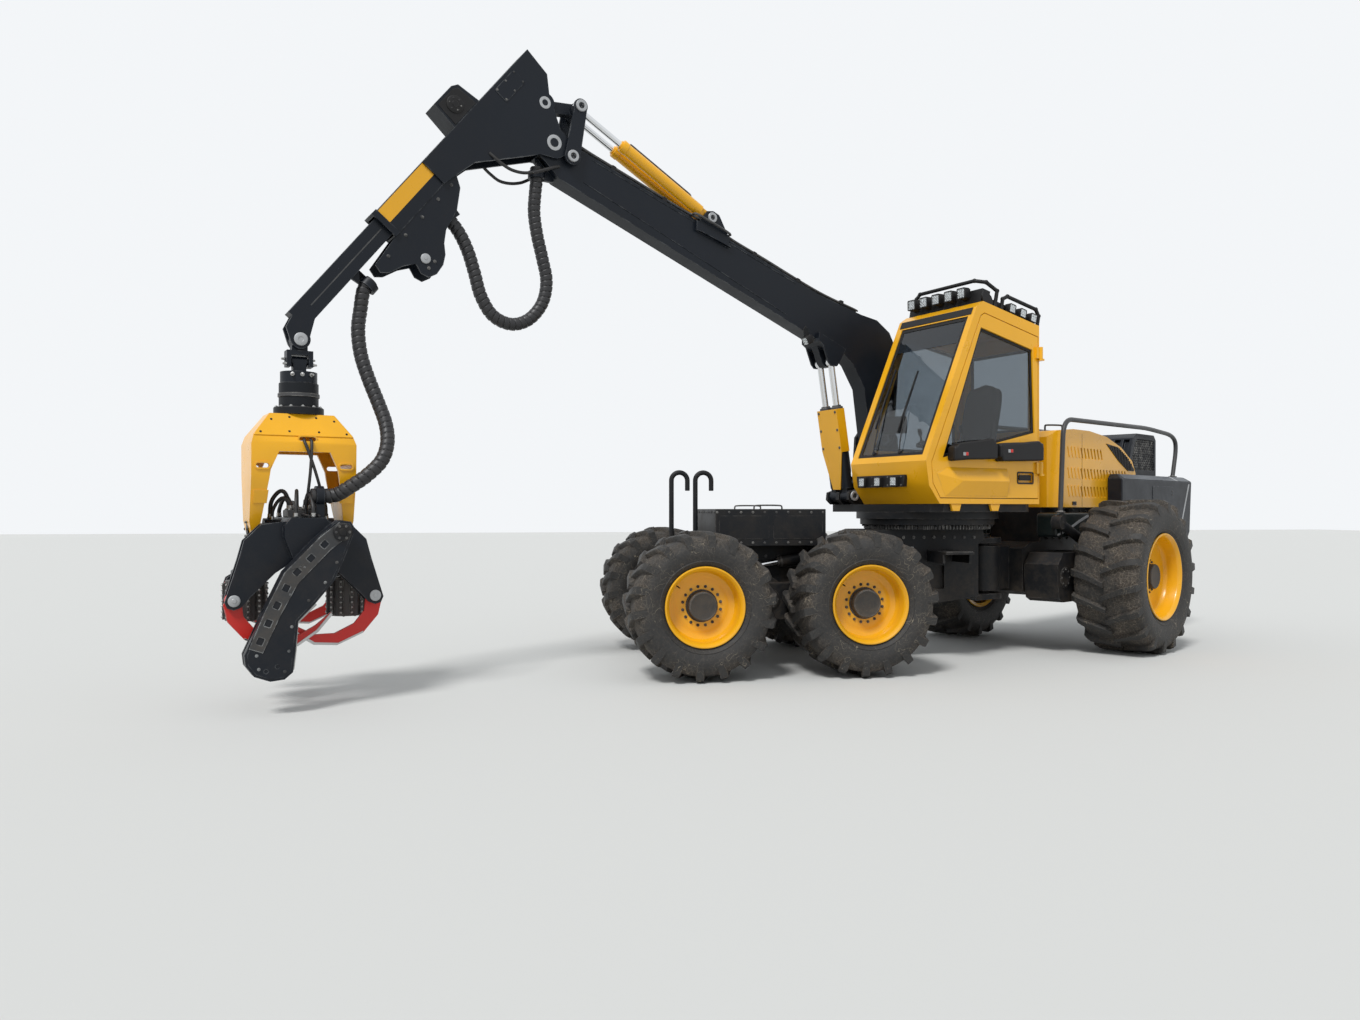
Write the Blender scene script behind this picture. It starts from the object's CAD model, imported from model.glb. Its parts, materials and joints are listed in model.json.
import json
import math

import bmesh
import bpy
import numpy as np
from mathutils import Matrix, Vector
from mathutils.geometry import tessellate_polygon

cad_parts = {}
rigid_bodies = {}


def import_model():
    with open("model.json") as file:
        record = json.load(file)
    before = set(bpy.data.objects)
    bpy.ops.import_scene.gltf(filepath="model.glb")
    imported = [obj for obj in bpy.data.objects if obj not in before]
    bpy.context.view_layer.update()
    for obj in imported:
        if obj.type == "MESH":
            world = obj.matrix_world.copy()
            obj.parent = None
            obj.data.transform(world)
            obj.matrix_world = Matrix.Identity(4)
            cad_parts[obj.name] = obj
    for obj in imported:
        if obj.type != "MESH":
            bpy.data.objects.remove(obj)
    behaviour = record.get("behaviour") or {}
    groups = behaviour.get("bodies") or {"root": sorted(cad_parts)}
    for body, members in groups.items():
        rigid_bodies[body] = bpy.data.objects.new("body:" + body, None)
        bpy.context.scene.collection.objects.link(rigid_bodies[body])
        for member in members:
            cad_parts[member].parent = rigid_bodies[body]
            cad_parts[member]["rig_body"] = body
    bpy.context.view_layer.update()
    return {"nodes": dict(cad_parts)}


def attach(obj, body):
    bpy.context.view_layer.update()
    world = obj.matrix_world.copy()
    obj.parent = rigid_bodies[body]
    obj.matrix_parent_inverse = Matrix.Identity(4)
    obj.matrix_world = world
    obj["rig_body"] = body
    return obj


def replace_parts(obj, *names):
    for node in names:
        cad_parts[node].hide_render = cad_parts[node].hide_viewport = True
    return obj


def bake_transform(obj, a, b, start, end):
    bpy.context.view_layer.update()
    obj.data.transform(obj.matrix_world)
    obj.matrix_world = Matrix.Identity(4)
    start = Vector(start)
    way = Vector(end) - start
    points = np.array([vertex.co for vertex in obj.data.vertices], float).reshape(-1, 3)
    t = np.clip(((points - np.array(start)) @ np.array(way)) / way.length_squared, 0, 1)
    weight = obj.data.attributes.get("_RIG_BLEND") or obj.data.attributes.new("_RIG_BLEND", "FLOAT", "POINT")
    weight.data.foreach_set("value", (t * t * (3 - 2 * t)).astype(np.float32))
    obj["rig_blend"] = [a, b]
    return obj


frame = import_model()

# The view: a camera at standing height before the machine's left side, as the photograph was taken,
# with a long grey floor, a pale sky and one broad soft lamp in place of the sun.
EYE = (3.276, 10.422, 1.53)
LOOK = (-0.17365, -0.98481, 0.0)
LENS_MM = 27.03
scene = bpy.context.scene
scene.view_settings.view_transform = "Standard"
camera_data = bpy.data.cameras.new("photo_view")
camera_data.lens = LENS_MM
camera_data.sensor_width = 36.0
camera_data.clip_end = 200.0
camera = bpy.data.objects.new("photo_view", camera_data)
camera.location = EYE
camera.rotation_euler = Vector(LOOK).to_track_quat("-Z", "Y").to_euler()
scene.collection.objects.link(camera)
scene.camera = camera


def put(tree, kind, inputs=(), **settings):
    """Adds one node to a tree; inputs are sockets to link or plain values, by socket name or number."""
    made = tree.nodes.new(kind)
    for key, value in settings.items():
        setattr(made, key, value)
    for key, value in dict(inputs).items():
        if isinstance(value, bpy.types.NodeSocket):
            tree.links.new(value, made.inputs[key])
        else:
            made.inputs[key].default_value = value
    return made


def sums(tree, operation, a, b=0.0, **settings):
    """One sum of two sockets or numbers."""
    return put(tree, "ShaderNodeMath", {0: a, 1: b}, operation=operation, **settings).outputs[0]


def blank_material(name):
    """A material with an empty tree and its output node."""
    material = bpy.data.materials.new(name)
    material.use_nodes = True
    material.node_tree.nodes.clear()
    return material, material.node_tree, put(material.node_tree, "ShaderNodeOutputMaterial")


def shade(tree, out, inputs):
    """One Principled shader with the given inputs, joined to the material's output."""
    tree.links.new(put(tree, "ShaderNodeBsdfPrincipled", inputs).outputs[0], out.inputs["Surface"])


world = bpy.data.worlds.new("pale_sky")
scene.world = world
world.use_nodes = True
sky = world.node_tree
sky.nodes.clear()
rays = put(sky, "ShaderNodeLightPath")
seen = sums(sky, "MAXIMUM", rays.outputs["Is Camera Ray"], rays.outputs["Is Glossy Ray"])
seen = sums(sky, "MAXIMUM", seen, rays.outputs["Is Transmission Ray"])
ambient = put(sky, "ShaderNodeBackground", {"Color": (0.92, 0.96, 1.0, 1.0), "Strength": 0.62})
backdrop = put(sky, "ShaderNodeBackground", {"Color": (0.90, 0.92, 0.94, 1.0), "Strength": 1.0})
sky_mix = put(sky, "ShaderNodeMixShader", {0: seen, 1: ambient.outputs[0], 2: backdrop.outputs[0]})
put(sky, "ShaderNodeOutputWorld", {"Surface": sky_mix.outputs[0]})
lamp_data = bpy.data.lights.new("soft_sun", "SUN")
lamp_data.energy = 2.3
lamp_data.angle = math.radians(14)
lamp = bpy.data.objects.new("soft_sun", lamp_data)
lamp.rotation_euler = Vector((-0.42, -0.62, -0.95)).to_track_quat("-Z", "Y").to_euler()
scene.collection.objects.link(lamp)

FLOOR_HALF = 60
floor_mesh = bpy.data.meshes.new("floor")
floor_mesh.from_pydata([(x * FLOOR_HALF, y * FLOOR_HALF, 0) for x, y in ((-1, -1), (1, -1), (1, 1), (-1, 1))], [],
                       [(0, 1, 2, 3)])
floor = bpy.data.objects.new("floor", floor_mesh)
scene.collection.objects.link(floor)
floor_finish, tree, out = blank_material("pale_floor")
shade(tree, out, {"Base Color": (0.62, 0.62, 0.60, 1.0), "Roughness": 0.9})
floor_mesh.materials.append(floor_finish)

# Where the parts stand: the front frame lies along X, and the rear frame, the cab and the crane are turned from it.
# The stick hangs at 51 degrees, and the head hangs plumb under the crane's tip.
STEER = math.radians(33.5)
SLEW = math.radians(21)
STICK_LEAN = math.radians(51)


def shift(x, y, z):
    """A move along the three axes."""
    return Matrix.Translation((x, y, z))


def turned(angle, axis):
    """A turn about one axis, by an angle in radians."""
    return Matrix.Rotation(angle, 4, axis)


FRONT = shift(0.730, 0.225, 0.0)
REAR = FRONT @ shift(-2.540, 0, 0) @ turned(STEER, "Z")
CAB = FRONT @ shift(-1.900, 0, 0) @ turned(SLEW, "Z")
CRANE = CAB @ shift(0, -0.620, 0)
STICK = CRANE @ shift(4.060, 0, 4.820) @ turned(STICK_LEAN, "Y")
TIP = CRANE @ shift(6.2168, 0, 2.8812)
HEAD = TIP @ shift(0, 0, -1.5)


def placed(points, place):
    """Points given in one part's own axes, in the machine's axes."""
    m = np.array(place)
    return np.asarray(points, float) @ m[:3, :3].T + m[:3, 3]


# Paint, dust and wear. Dust lies thicker low down, on upward faces and in soft patches, and edges are rubbed bare;
# one group gives the mixed colour, the roughness and a fine height.
def mixed(tree, factor, low, high):
    """Colour = low * (1 - factor) + high * factor; low and high are sockets or plain colours."""
    made = put(tree, "ShaderNodeMix", {"Factor": factor}, data_type="RGBA")
    for socket, value in zip([s for s in made.inputs if s.type == "RGBA"], (low, high)):
        if isinstance(value, bpy.types.NodeSocket):
            tree.links.new(value, socket)
        else:
            socket.default_value = value
    return next(s for s in made.outputs if s.type == "RGBA")


def ramp(tree, value, low, high, to_low=0.0, to_high=1.0):
    """A value carried in a straight line from one range to another, and held at its ends."""
    return put(tree, "ShaderNodeMapRange", {"Value": value, "From Min": low, "From Max": high, "To Min": to_low,
                                            "To Max": to_high}).outputs[0]


def noise(tree, place, scale, detail, rough=0.5, distortion=0.0):
    """Soft noise from 0 to 1 at a place; the scale is a number or a socket."""
    return put(tree, "ShaderNodeTexNoise", {"Vector": place, "Scale": scale, "Detail": detail, "Roughness": rough,
                                            "Distortion": distortion}).outputs["Fac"]


def build_grime():
    """Clean colour, then dust by height, upward normal and noise, then the worn colour on sharp edges.

    An edge is where the product of the face's own normal and a bevelled normal falls below one.
    """
    group = bpy.data.node_groups.new("grime", "ShaderNodeTree")
    for side, kind, labels in (("INPUT", "NodeSocketColor", ("Clean", "Dust", "Worn")),
                               ("INPUT", "NodeSocketFloat", ("Dust amount", "Wear amount", "Smooth", "Scale")),
                               ("OUTPUT", "NodeSocketColor", ("Color",)),
                               ("OUTPUT", "NodeSocketFloat", ("Roughness", "Height"))):
        for label in labels:
            group.interface.new_socket(label, in_out=side, socket_type=kind)
    give = put(group, "NodeGroupInput").outputs
    place = put(group, "ShaderNodeTexCoord").outputs["Object"]
    face = put(group, "ShaderNodeNewGeometry").outputs["Normal"]
    broad, patchy, fine, rub = (noise(group, place, sums(group, "MULTIPLY", give["Scale"], scale), detail, rough)
                                for scale, detail, rough in ((0.9, 4, 0.6), (5.0, 6, 0.7), (60.0, 5, 0.7),
                                                             (11.0, 4, 0.6)))
    height = put(group, "ShaderNodeSeparateXYZ", {0: place}).outputs["Z"]
    up = put(group, "ShaderNodeSeparateXYZ", {0: face}).outputs["Z"]
    level = sums(group, "ADD", ramp(group, up, 0.2, 0.95, 0.0, 0.45), ramp(group, height, 0.3, 2.4, 1.0, 0.15))
    mottled = sums(group, "MULTIPLY", ramp(group, broad, 0.35, 0.7, 0.3, 1.0),
                   ramp(group, patchy, 0.42, 0.68, 0.15, 1.0))
    speck = sums(group, "MULTIPLY", ramp(group, fine, 0.55, 0.72), 0.25)
    amount = sums(group, "MULTIPLY", sums(group, "ADD", mottled, speck), level)
    amount = sums(group, "MULTIPLY", amount, give["Dust amount"], use_clamp=True)
    tone = mixed(group, ramp(group, broad, 0.3, 0.7, 0.0, 0.16), give["Clean"], (0.0, 0.0, 0.0, 1.0))
    dusted = mixed(group, amount, tone, give["Dust"])
    soft_edge = put(group, "ShaderNodeBevel", {"Radius": 0.012}, samples=4).outputs[0]
    agree = put(group, "ShaderNodeVectorMath", {0: face, 1: soft_edge}, operation="DOT_PRODUCT").outputs["Value"]
    rubbed = sums(group, "MULTIPLY", ramp(group, agree, 0.985, 0.90), ramp(group, rub, 0.44, 0.60))
    rubbed = sums(group, "MULTIPLY", rubbed, give["Wear amount"])
    rough = sums(group, "ADD", give["Smooth"], sums(group, "MULTIPLY", amount, 0.45))
    put(group, "NodeGroupOutput", {
        "Color": mixed(group, rubbed, dusted, give["Worn"]),
        "Roughness": sums(group, "ADD", rough, ramp(group, patchy, 0.3, 0.7, -0.05, 0.07)),
        "Height": sums(group, "ADD", sums(group, "MULTIPLY", fine, 0.4), sums(group, "MULTIPLY", amount, 0.6))})
    return group


GRIME = build_grime()
SOIL = (0.20, 0.15, 0.10, 1.0)


def finish(name, clean, rough, dust=0.5, wear=0.4, worn=(0.30, 0.29, 0.27, 1.0), metal=0.0, coat=0.0, shine=0.5,
           bump=0.25, scale=1.0):
    """A painted, bare or moulded surface: the grime group's colour, roughness and height on one shader."""
    material, tree, out = blank_material(name)
    grime = put(tree, "ShaderNodeGroup", {"Clean": (*clean, 1.0), "Dust": SOIL, "Worn": worn, "Dust amount": dust,
                                          "Wear amount": wear, "Smooth": rough, "Scale": scale},
                                          node_tree=GRIME).outputs
    relief = put(tree, "ShaderNodeBump", {"Height": grime["Height"], "Strength": bump, "Distance": 0.004})
    shade(tree, out, {"Base Color": grime["Color"], "Roughness": grime["Roughness"], "Normal": relief.outputs[0],
                      "Metallic": metal, "Coat Weight": coat, "Coat Roughness": 0.15, "Specular IOR Level": shine})
    return material


YELLOW = finish("warm_yellow_paint", (0.88, 0.43, 0.006), 0.30, dust=0.10, wear=0.30, worn=(0.40, 0.24, 0.08, 1.0),
                coat=0.30, shine=0.4)
BLUE_BLACK = finish("blue_black_paint", (0.0055, 0.0085, 0.014), 0.40, dust=0.11, wear=0.8,
                    worn=(0.11, 0.115, 0.12, 1.0), shine=0.26)
FRAME_BLACK = finish("frame_black_paint", (0.006, 0.008, 0.011), 0.46, dust=0.34, wear=0.6,
                     worn=(0.14, 0.13, 0.12, 1.0), shine=0.22)
RAIL_GREY = finish("rail_grey_paint", (0.045, 0.046, 0.048), 0.42, dust=0.3, wear=0.8, shine=0.4)
TANK_GREEN = finish("tank_black_paint", (0.004, 0.010, 0.011), 0.35, dust=0.2, wear=0.3, shine=0.3)
RED = finish("worn_red_paint", (0.62, 0.012, 0.008), 0.42, dust=0.22, wear=1.0, worn=(0.30, 0.20, 0.18, 1.0))
HUB = finish("hub_grey", (0.030, 0.029, 0.028), 0.5, dust=0.45, wear=0.5, shine=0.35)
CAST = finish("bare_casting", (0.07, 0.07, 0.072), 0.5, dust=0.35, wear=0.8, metal=0.6)
STEEL = finish("bright_steel", (0.42, 0.42, 0.41), 0.32, dust=0.2, wear=0.3, metal=0.9)
CHROME = finish("chromed_rod", (0.78, 0.79, 0.80), 0.10, dust=0.03, wear=0.0, metal=1.0, bump=0.03)
PLASTIC = finish("black_plastic", (0.008, 0.008, 0.009), 0.50, dust=0.14, wear=0.1, shine=0.3)
LIGHT_STRIP = finish("light_grey_strip", (0.36, 0.37, 0.38), 0.4, dust=0.3, wear=0.5)


# Glass: dark smoked panes that mirror the pale sky, with a thin film of dust in streaks.
def build_glass(name, tint, transmission):
    """Tinted glass whose roughness rises in streaks of noise."""
    material, tree, out = blank_material(name)
    streak = noise(tree, put(tree, "ShaderNodeTexCoord").outputs["Object"], 3.0, 5.0)
    shade(tree, out, {"Base Color": tint, "Roughness": ramp(tree, streak, 0.45, 0.8, 0.0, 0.07), "IOR": 1.48,
                      "Transmission Weight": transmission})
    return material


SMOKED = build_glass("smoked_glass", (0.36, 0.40, 0.43, 1.0), 1.0)
LENS = build_glass("lamp_lens", (0.90, 0.92, 0.92, 1.0), 0.95)


# The CAD's plates and castings, with their doubled corners merged and every sharp edge broken by a small round,
# as sheared and welded plate has.
def broken_edges(piece, width, angle, harden=False):
    """A small round on every edge that turns by more than an angle."""
    bevel = piece.modifiers.new("broken_edges", "BEVEL")
    bevel.width = width
    bevel.segments = 2
    bevel.limit_method = "ANGLE"
    bevel.angle_limit = math.radians(angle)
    bevel.harden_normals = harden


def softened(node, material, round_m=0.006, angle=32):
    """A copy of a CAD node, merged and bevelled, in its place on its body."""
    source = frame["nodes"][node]
    shape = source.data.copy()
    for layer in [a.name for a in shape.attributes if a.name == "custom_normal"]:
        shape.attributes.remove(shape.attributes[layer])
    bm = bmesh.new()
    bm.from_mesh(shape)
    bmesh.ops.remove_doubles(bm, verts=bm.verts, dist=0.00003)
    bmesh.ops.dissolve_limit(bm, angle_limit=math.radians(0.6), verts=bm.verts, edges=bm.edges)
    bm.to_mesh(shape)
    bm.free()
    piece = bpy.data.objects.new(node + "_skin", shape)
    scene.collection.objects.link(piece)
    shape.materials.clear()
    shape.materials.append(material)
    shape.shade_smooth()
    shape.set_sharp_from_angle(angle=math.radians(angle))
    if round_m:
        broken_edges(piece, round_m, angle, True)
    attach(piece, source["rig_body"])
    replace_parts(piece, node)


def dressed(node, material):
    """A CAD node whose shape is kept, with its finish."""
    shape = frame["nodes"][node].data
    shape.materials.clear()
    shape.materials.append(material)


# Hoses: 110 mm bundles in black spiral wrap. One hangs in a loop from the boom's nose to the guard under the stick,
# and one from under the stick round the side of the tilt frame to the head.
WRAP_R = 0.055
PITCH = 0.052
RIDGE = 0.0035
GROOVE = 0.0095
ELBOW_ROUTE = [(4.178, 0, 4.610), (4.178, 0, 4.500), (4.190, 0, 4.380), (4.200, 0, 4.200), (4.170, 0, 4.000),
               (4.120, 0, 3.800),
               (4.080, 0, 3.600), (4.120, 0, 3.400), (4.250, 0, 3.240), (4.420, 0, 3.180), (4.590, 0, 3.240),
               (4.700, 0, 3.400),
               (4.760, 0, 3.600), (4.820, 0, 3.780), (4.900, 0, 3.930), (5.020, 0, 4.070)]
HEAD_ROUTE = [(5.6435, 0, 3.4208), (5.7064, 0, 3.3431), (5.735, 0, 3.170), (5.755, 0.010, 3.000),
              (5.740, 0.040, 2.800),
              (5.690, 0.090, 2.600), (5.630, 0.160, 2.400), (5.590, 0.240, 2.220), (5.600, 0.320, 2.060),
              (5.660, 0.370, 1.920),
              (5.780, 0.385, 1.800), (5.900, 0.350, 1.710), (5.990, 0.300, 1.650), (6.080, 0.290, 1.640),
              (6.180, 0.290, 1.640)]


def smooth_route(points, step):
    """Even points along a route: a Catmull-Rom curve through the given ones, then equal steps of its length."""
    p = np.array(points, float)
    p = np.vstack([2 * p[0] - p[1], p, 2 * p[-1] - p[-2]])
    t = np.linspace(0, 1, 24, endpoint=False)[:, None]
    a, b, c, d = (p[i:len(p) - 3 + i, None, :] for i in range(4))
    curve = 0.5 * (2 * b + (c - a) * t + (2 * a - 5 * b + 4 * c - d) * t ** 2 + (3 * b - a - 3 * c + d) * t ** 3)
    curve = np.vstack([curve.reshape(-1, 3), p[-2]])
    run = np.concatenate([[0], np.cumsum(np.linalg.norm(np.diff(curve, axis=0), axis=1))])
    even = np.linspace(0, run[-1], max(2, int(round(run[-1] / step)) + 1))
    return np.column_stack([np.interp(even, run, curve[:, k]) for k in range(3)]), run[-1]


def cross_axes(path, hint):
    """Two axes square to a path at each of its points, kept near one hint so that the tube doesn't twist."""
    along = np.gradient(path, axis=0)
    along /= np.linalg.norm(along, axis=1)[:, None]
    first = np.cross(along, hint)
    first /= np.linalg.norm(first, axis=1)[:, None]
    return first, np.cross(along, first)


def grid_faces(rows, columns, wrap):
    """Quads between neighbouring points of a grid, round again from the last column when it wraps."""
    i, j = np.meshgrid(np.arange(rows - 1), np.arange(columns if wrap else columns - 1), indexing="ij")
    k = (j + 1) % columns
    return np.stack([i * columns + j, i * columns + k, (i + 1) * columns + k, (i + 1) * columns + j],
                    -1).reshape(-1, 4)


def end_caps(rows, columns):
    """The two closing faces of a stack of rings: the first ring turned round, and the last."""
    return [np.arange(columns)[::-1], (rows - 1) * columns + np.arange(columns)]


def surface_piece(name, vertices, faces, material, body, smooth_deg=35, caps=()):
    """A mesh from arrays of points and faces, riding on one body."""
    shape = bpy.data.meshes.new(name)
    shape.from_pydata(np.asarray(vertices).tolist(), [], [list(map(int, f)) for f in faces] + [list(map(int, c))
        for c in caps])
    shape.materials.append(material)
    shape.shade_smooth()
    shape.set_sharp_from_angle(angle=math.radians(smooth_deg))
    made = bpy.data.objects.new(name, shape)
    scene.collection.objects.link(made)
    if body:
        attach(made, body)
    return made


def tube_points(path, radius, sides, hint=(0.05, 1.0, 0.03)):
    """Rings of a tube: the radius may change along the path and round the ring."""
    u, v = cross_axes(path, np.array(hint, float))
    turn = np.linspace(0, 2 * np.pi, sides, endpoint=False)
    r = np.broadcast_to(radius, (len(path), sides))
    ring = np.cos(turn)[:, None] * u[:, None] + np.sin(turn)[:, None] * v[:, None]
    return (path[:, None] + r[..., None] * ring).reshape(-1, 3)


def outward(obj):
    """Merges a mesh's doubled points and turns its faces outwards."""
    bm = bmesh.new()
    bm.from_mesh(obj.data)
    bmesh.ops.remove_doubles(bm, verts=bm.verts, dist=0.00002)
    bmesh.ops.recalc_face_normals(bm, faces=bm.faces)
    bm.to_mesh(obj.data)
    bm.free()
    return obj


def build_wrap():
    """Black wrap: rubbed ridges and dust in the grooves, read from the piece's own groove attribute."""
    material, tree, out = blank_material("spiral_wrap")
    groove = put(tree, "ShaderNodeAttribute", attribute_name="groove").outputs["Fac"]
    grime = put(tree, "ShaderNodeGroup", {"Clean": (0.016, 0.016, 0.018, 1.0), "Dust": (0.16, 0.14, 0.12, 1.0),
                                          "Worn": (0.1, 0.1, 0.1, 1.0), "Dust amount": 0.35, "Wear amount": 0.0,
                                          "Smooth": 0.45, "Scale": 2.0}, node_tree=GRIME).outputs
    shade(tree, out, {"Base Color": mixed(tree, groove, grime["Color"], (0.004, 0.004, 0.004, 1.0)),
                      "Roughness": grime["Roughness"]})
    return material


WRAP = build_wrap()


def wrapped_hose(name, route):
    """A hose in spiral wrap: the radius dips where length over pitch minus the turn comes near a whole number."""
    path, length = smooth_route(route, 0.0065)
    path = placed(path, CRANE)
    sides = 28
    s = np.linspace(0, length, len(path))[:, None]
    turn = np.linspace(0, 1, sides, endpoint=False)[None, :]
    phase = (s / PITCH - turn) % 1.0
    dip = np.clip(1 - np.minimum(phase, 1 - phase) / 0.12, 0, 1)
    points = tube_points(path, WRAP_R + RIDGE * (1 - phase) - GROOVE * dip, sides)
    hose = surface_piece(name, points, grid_faces(len(path), sides, True), WRAP, None, 70,
                         end_caps(len(path), sides))
    layer = hose.data.attributes.new("groove", "FLOAT", "POINT")
    layer.data.foreach_set("value", dip.reshape(-1).astype(np.float32))
    outward(hose)
    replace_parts(hose, name.replace("_wrap", ""))
    return hose


def crane_point(x, y, z):
    """One point of the crane's own axes, in the machine's."""
    return tuple(placed([(x, y, z)], CRANE)[0])


# The turn runs down the elbow hose's first leg, so that its rings stay near round when the stick folds.
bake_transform(wrapped_hose("elbow_hose_wrap", ELBOW_ROUTE), "main_boom", "stick", start=crane_point(4.101, 0, 4.582),
         end=crane_point(4.375, 0, 3.830))
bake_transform(wrapped_hose("head_hose_wrap", HEAD_ROUTE), "extension", "tip_hanger", start=crane_point(5.70, 0, 3.35),
         end=crane_point(5.75, 0.02, 2.85))


# Tyres: wide forestry tyres with chevron lugs, caked with dry mud between the lugs. The carcass is one revolved
# section
# and each lug a block carried from the middle of the tread round the shoulder. The dished rims are turned, with a
# cap
# and nuts on washers, and a valve.
def turned_mesh(profile, steps, capped=True, shape=1.0):
    """Points and faces of (radius, height) pairs swept round the Z axis; shape stretches the radius round each
    ring."""
    p = np.array(profile, float)
    turn = np.linspace(0, 2 * np.pi, steps, endpoint=False)
    r = p[:, 0, None] * shape
    points = np.stack([r * np.cos(turn), r * np.sin(turn), np.repeat(p[:, 1, None], steps, 1)], -1)
    caps = end_caps(len(p), steps) if capped else []
    return points.reshape(-1, 3), [list(f) for f in grid_faces(len(p), steps, True)] + [list(c) for c in caps]


def revolved(name, profile, place, material, body, steps=48, capped=True):
    """A turned part: a profile of (radius, height) pairs swept round the Z axis of its place."""
    points, faces = turned_mesh(profile, steps, capped)
    return outward(surface_piece(name, placed(points, place), faces, material, body, 35))


def facing(point, direction, place):
    """A place at a point of another, whose Z axis looks along a direction."""
    return place @ shift(*point) @ Vector(direction).to_track_quat("Z", "Y").to_matrix().to_4x4()


def on_side(spots, y, s, place):
    """Places at (x, z) spots on an upright face, looking out to the side s, 1 or -1."""
    return [facing((x, s * y, z), (0, s, 0), place) for x, z in spots]


def bolt_circle(at, r, count, rise, first=0.0):
    """Places evenly round the Z axis of another, from a first angle."""
    return [at @ turned(first + k * 2 * math.pi / count, "Z") @ shift(r, 0, rise) for k in range(count)]


def circle(x, z, r, count):
    """Points evenly round a circle: x + r cos q and z + r sin q."""
    return [(x + r * math.cos(q), z + r * math.sin(q)) for q in np.arange(count) * 2 * math.pi / count]


def joined(parts):
    """Several shapes' points and faces as one: each shape's faces count on from the points before it."""
    starts = np.cumsum([0] + [len(p) for p, _ in parts])
    return (np.vstack([p for p, _ in parts]),
            [[k + n for k in face] for (_, faces), n in zip(parts, starts) for face in faces])


def bolts(name, places, r, material, body, tall=1.0):
    """Hexagon bolts on washers: rings whose radius goes from round to six-sided, flat to flat 2 r wide."""
    turn = np.linspace(0, 2 * np.pi, 24, endpoint=False)
    six = 1 / np.cos((turn + math.pi / 6) % (math.pi / 3) - math.pi / 6)
    rings = np.array([(1.5, 0.0, 0), (1.5, 0.18, 0), (1.44, 0.24, 0), (1.0, 0.24, 1), (1.0, 0.85 * tall, 1),
                      (0.93, 0.95 * tall, 1), (0.60, 0.97 * tall, 0), (0.52, 0.86 * tall, 0),
                      (0.50, 1.22 * tall, 0),
                      (0.42, 1.30 * tall, 0), (0.02, 1.31 * tall, 0)])
    points, faces = turned_mesh(r * rings[:, :2], 24, True, np.where(rings[:, 2:], six, 1.0))
    points, faces = joined([(placed(points, m), faces) for m in places])
    return outward(surface_piece(name, points, faces, material, body, 30))


def pipe_along(name, path, r, place, material, body, sides):
    """A closed tube along a path, in its place."""
    tube = placed(tube_points(path, r, sides, (0.31, 0.9, 0.17)), place)
    return outward(surface_piece(name, tube, grid_faces(len(path), sides, True), material, body, 60,
                                 end_caps(len(path), sides)))


def bent_pipe(name, points, r, place, material, body, sides=14, step=0.012):
    """A round pipe along a smooth route through a few points, rounded at its ends."""
    path, _ = smooth_route(points, step)
    near_end = np.minimum(np.arange(len(path)), np.arange(len(path))[::-1])
    swell = np.minimum(1, np.sqrt(np.clip(near_end / 2.0 + 0.35, 0, 1)))
    return pipe_along(name, path, (r * swell)[:, None], place, material, body, sides)


TRACK_HALF = 1.075
LUGS = 18
FRONT_TYRE = (0.672, 0.362)
REAR_TYRE = (0.822, 0.463)
TYRE_HALF = 0.355
LUG_H = 0.048
DISH = 0.135


def build_tyre_finish():
    """Rubber: dark on the lugs, pale dry mud in the grooves by the mud attribute and noise, and thin straw
    lines."""
    material, tree, out = blank_material("muddy_rubber")
    place = put(tree, "ShaderNodeTexCoord").outputs["Object"]
    mud = put(tree, "ShaderNodeAttribute", attribute_name="mud").outputs["Fac"]
    broad = noise(tree, place, 3.2, 6.0, 0.65)
    fine = noise(tree, place, 34.0, 6.0, 0.7)
    twigs = put(tree, "ShaderNodeTexVoronoi", {"Vector": place, "Scale": 26.0}, feature="DISTANCE_TO_EDGE")
    lump = sums(tree, "MULTIPLY", mud, ramp(tree, broad, 0.36, 0.62, 0.05, 1.15))
    lump = sums(tree, "MULTIPLY", lump, ramp(tree, fine, 0.35, 0.65, 0.5, 1.2), use_clamp=True)
    amount = sums(tree, "MAXIMUM", lump, ramp(tree, fine, 0.42, 0.78, 0.02, 0.30))
    earth = mixed(tree, ramp(tree, twigs.outputs["Distance"], 0.0, 0.06), (0.20, 0.170, 0.135, 1.0),
                  (0.075, 0.062, 0.050, 1.0))
    skin = mixed(tree, amount, (0.0135, 0.0135, 0.0135, 1.0), earth)
    curled = noise(tree, place, 7.5, 1.5, distortion=1.2)
    nearness = sums(tree, "ABSOLUTE", sums(tree, "SUBTRACT", curled, 0.5))
    straw = sums(tree, "MULTIPLY", ramp(tree, nearness, 0.0025, 0.0045, 0.55, 0.0), ramp(tree, broad, 0.42, 0.56))
    relief = put(tree, "ShaderNodeBump", {"Height": sums(tree, "MULTIPLY", fine, amount), "Strength": 0.7,
                                          "Distance": 0.02})
    shade(tree, out, {"Base Color": mixed(tree, straw, skin, (0.34, 0.29, 0.21, 1.0)),
                      "Roughness": ramp(tree, amount, 0.0, 1.0, 0.6, 0.95), "Normal": relief.outputs[0]})
    return material


TYRE_FINISH = build_tyre_finish()


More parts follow.
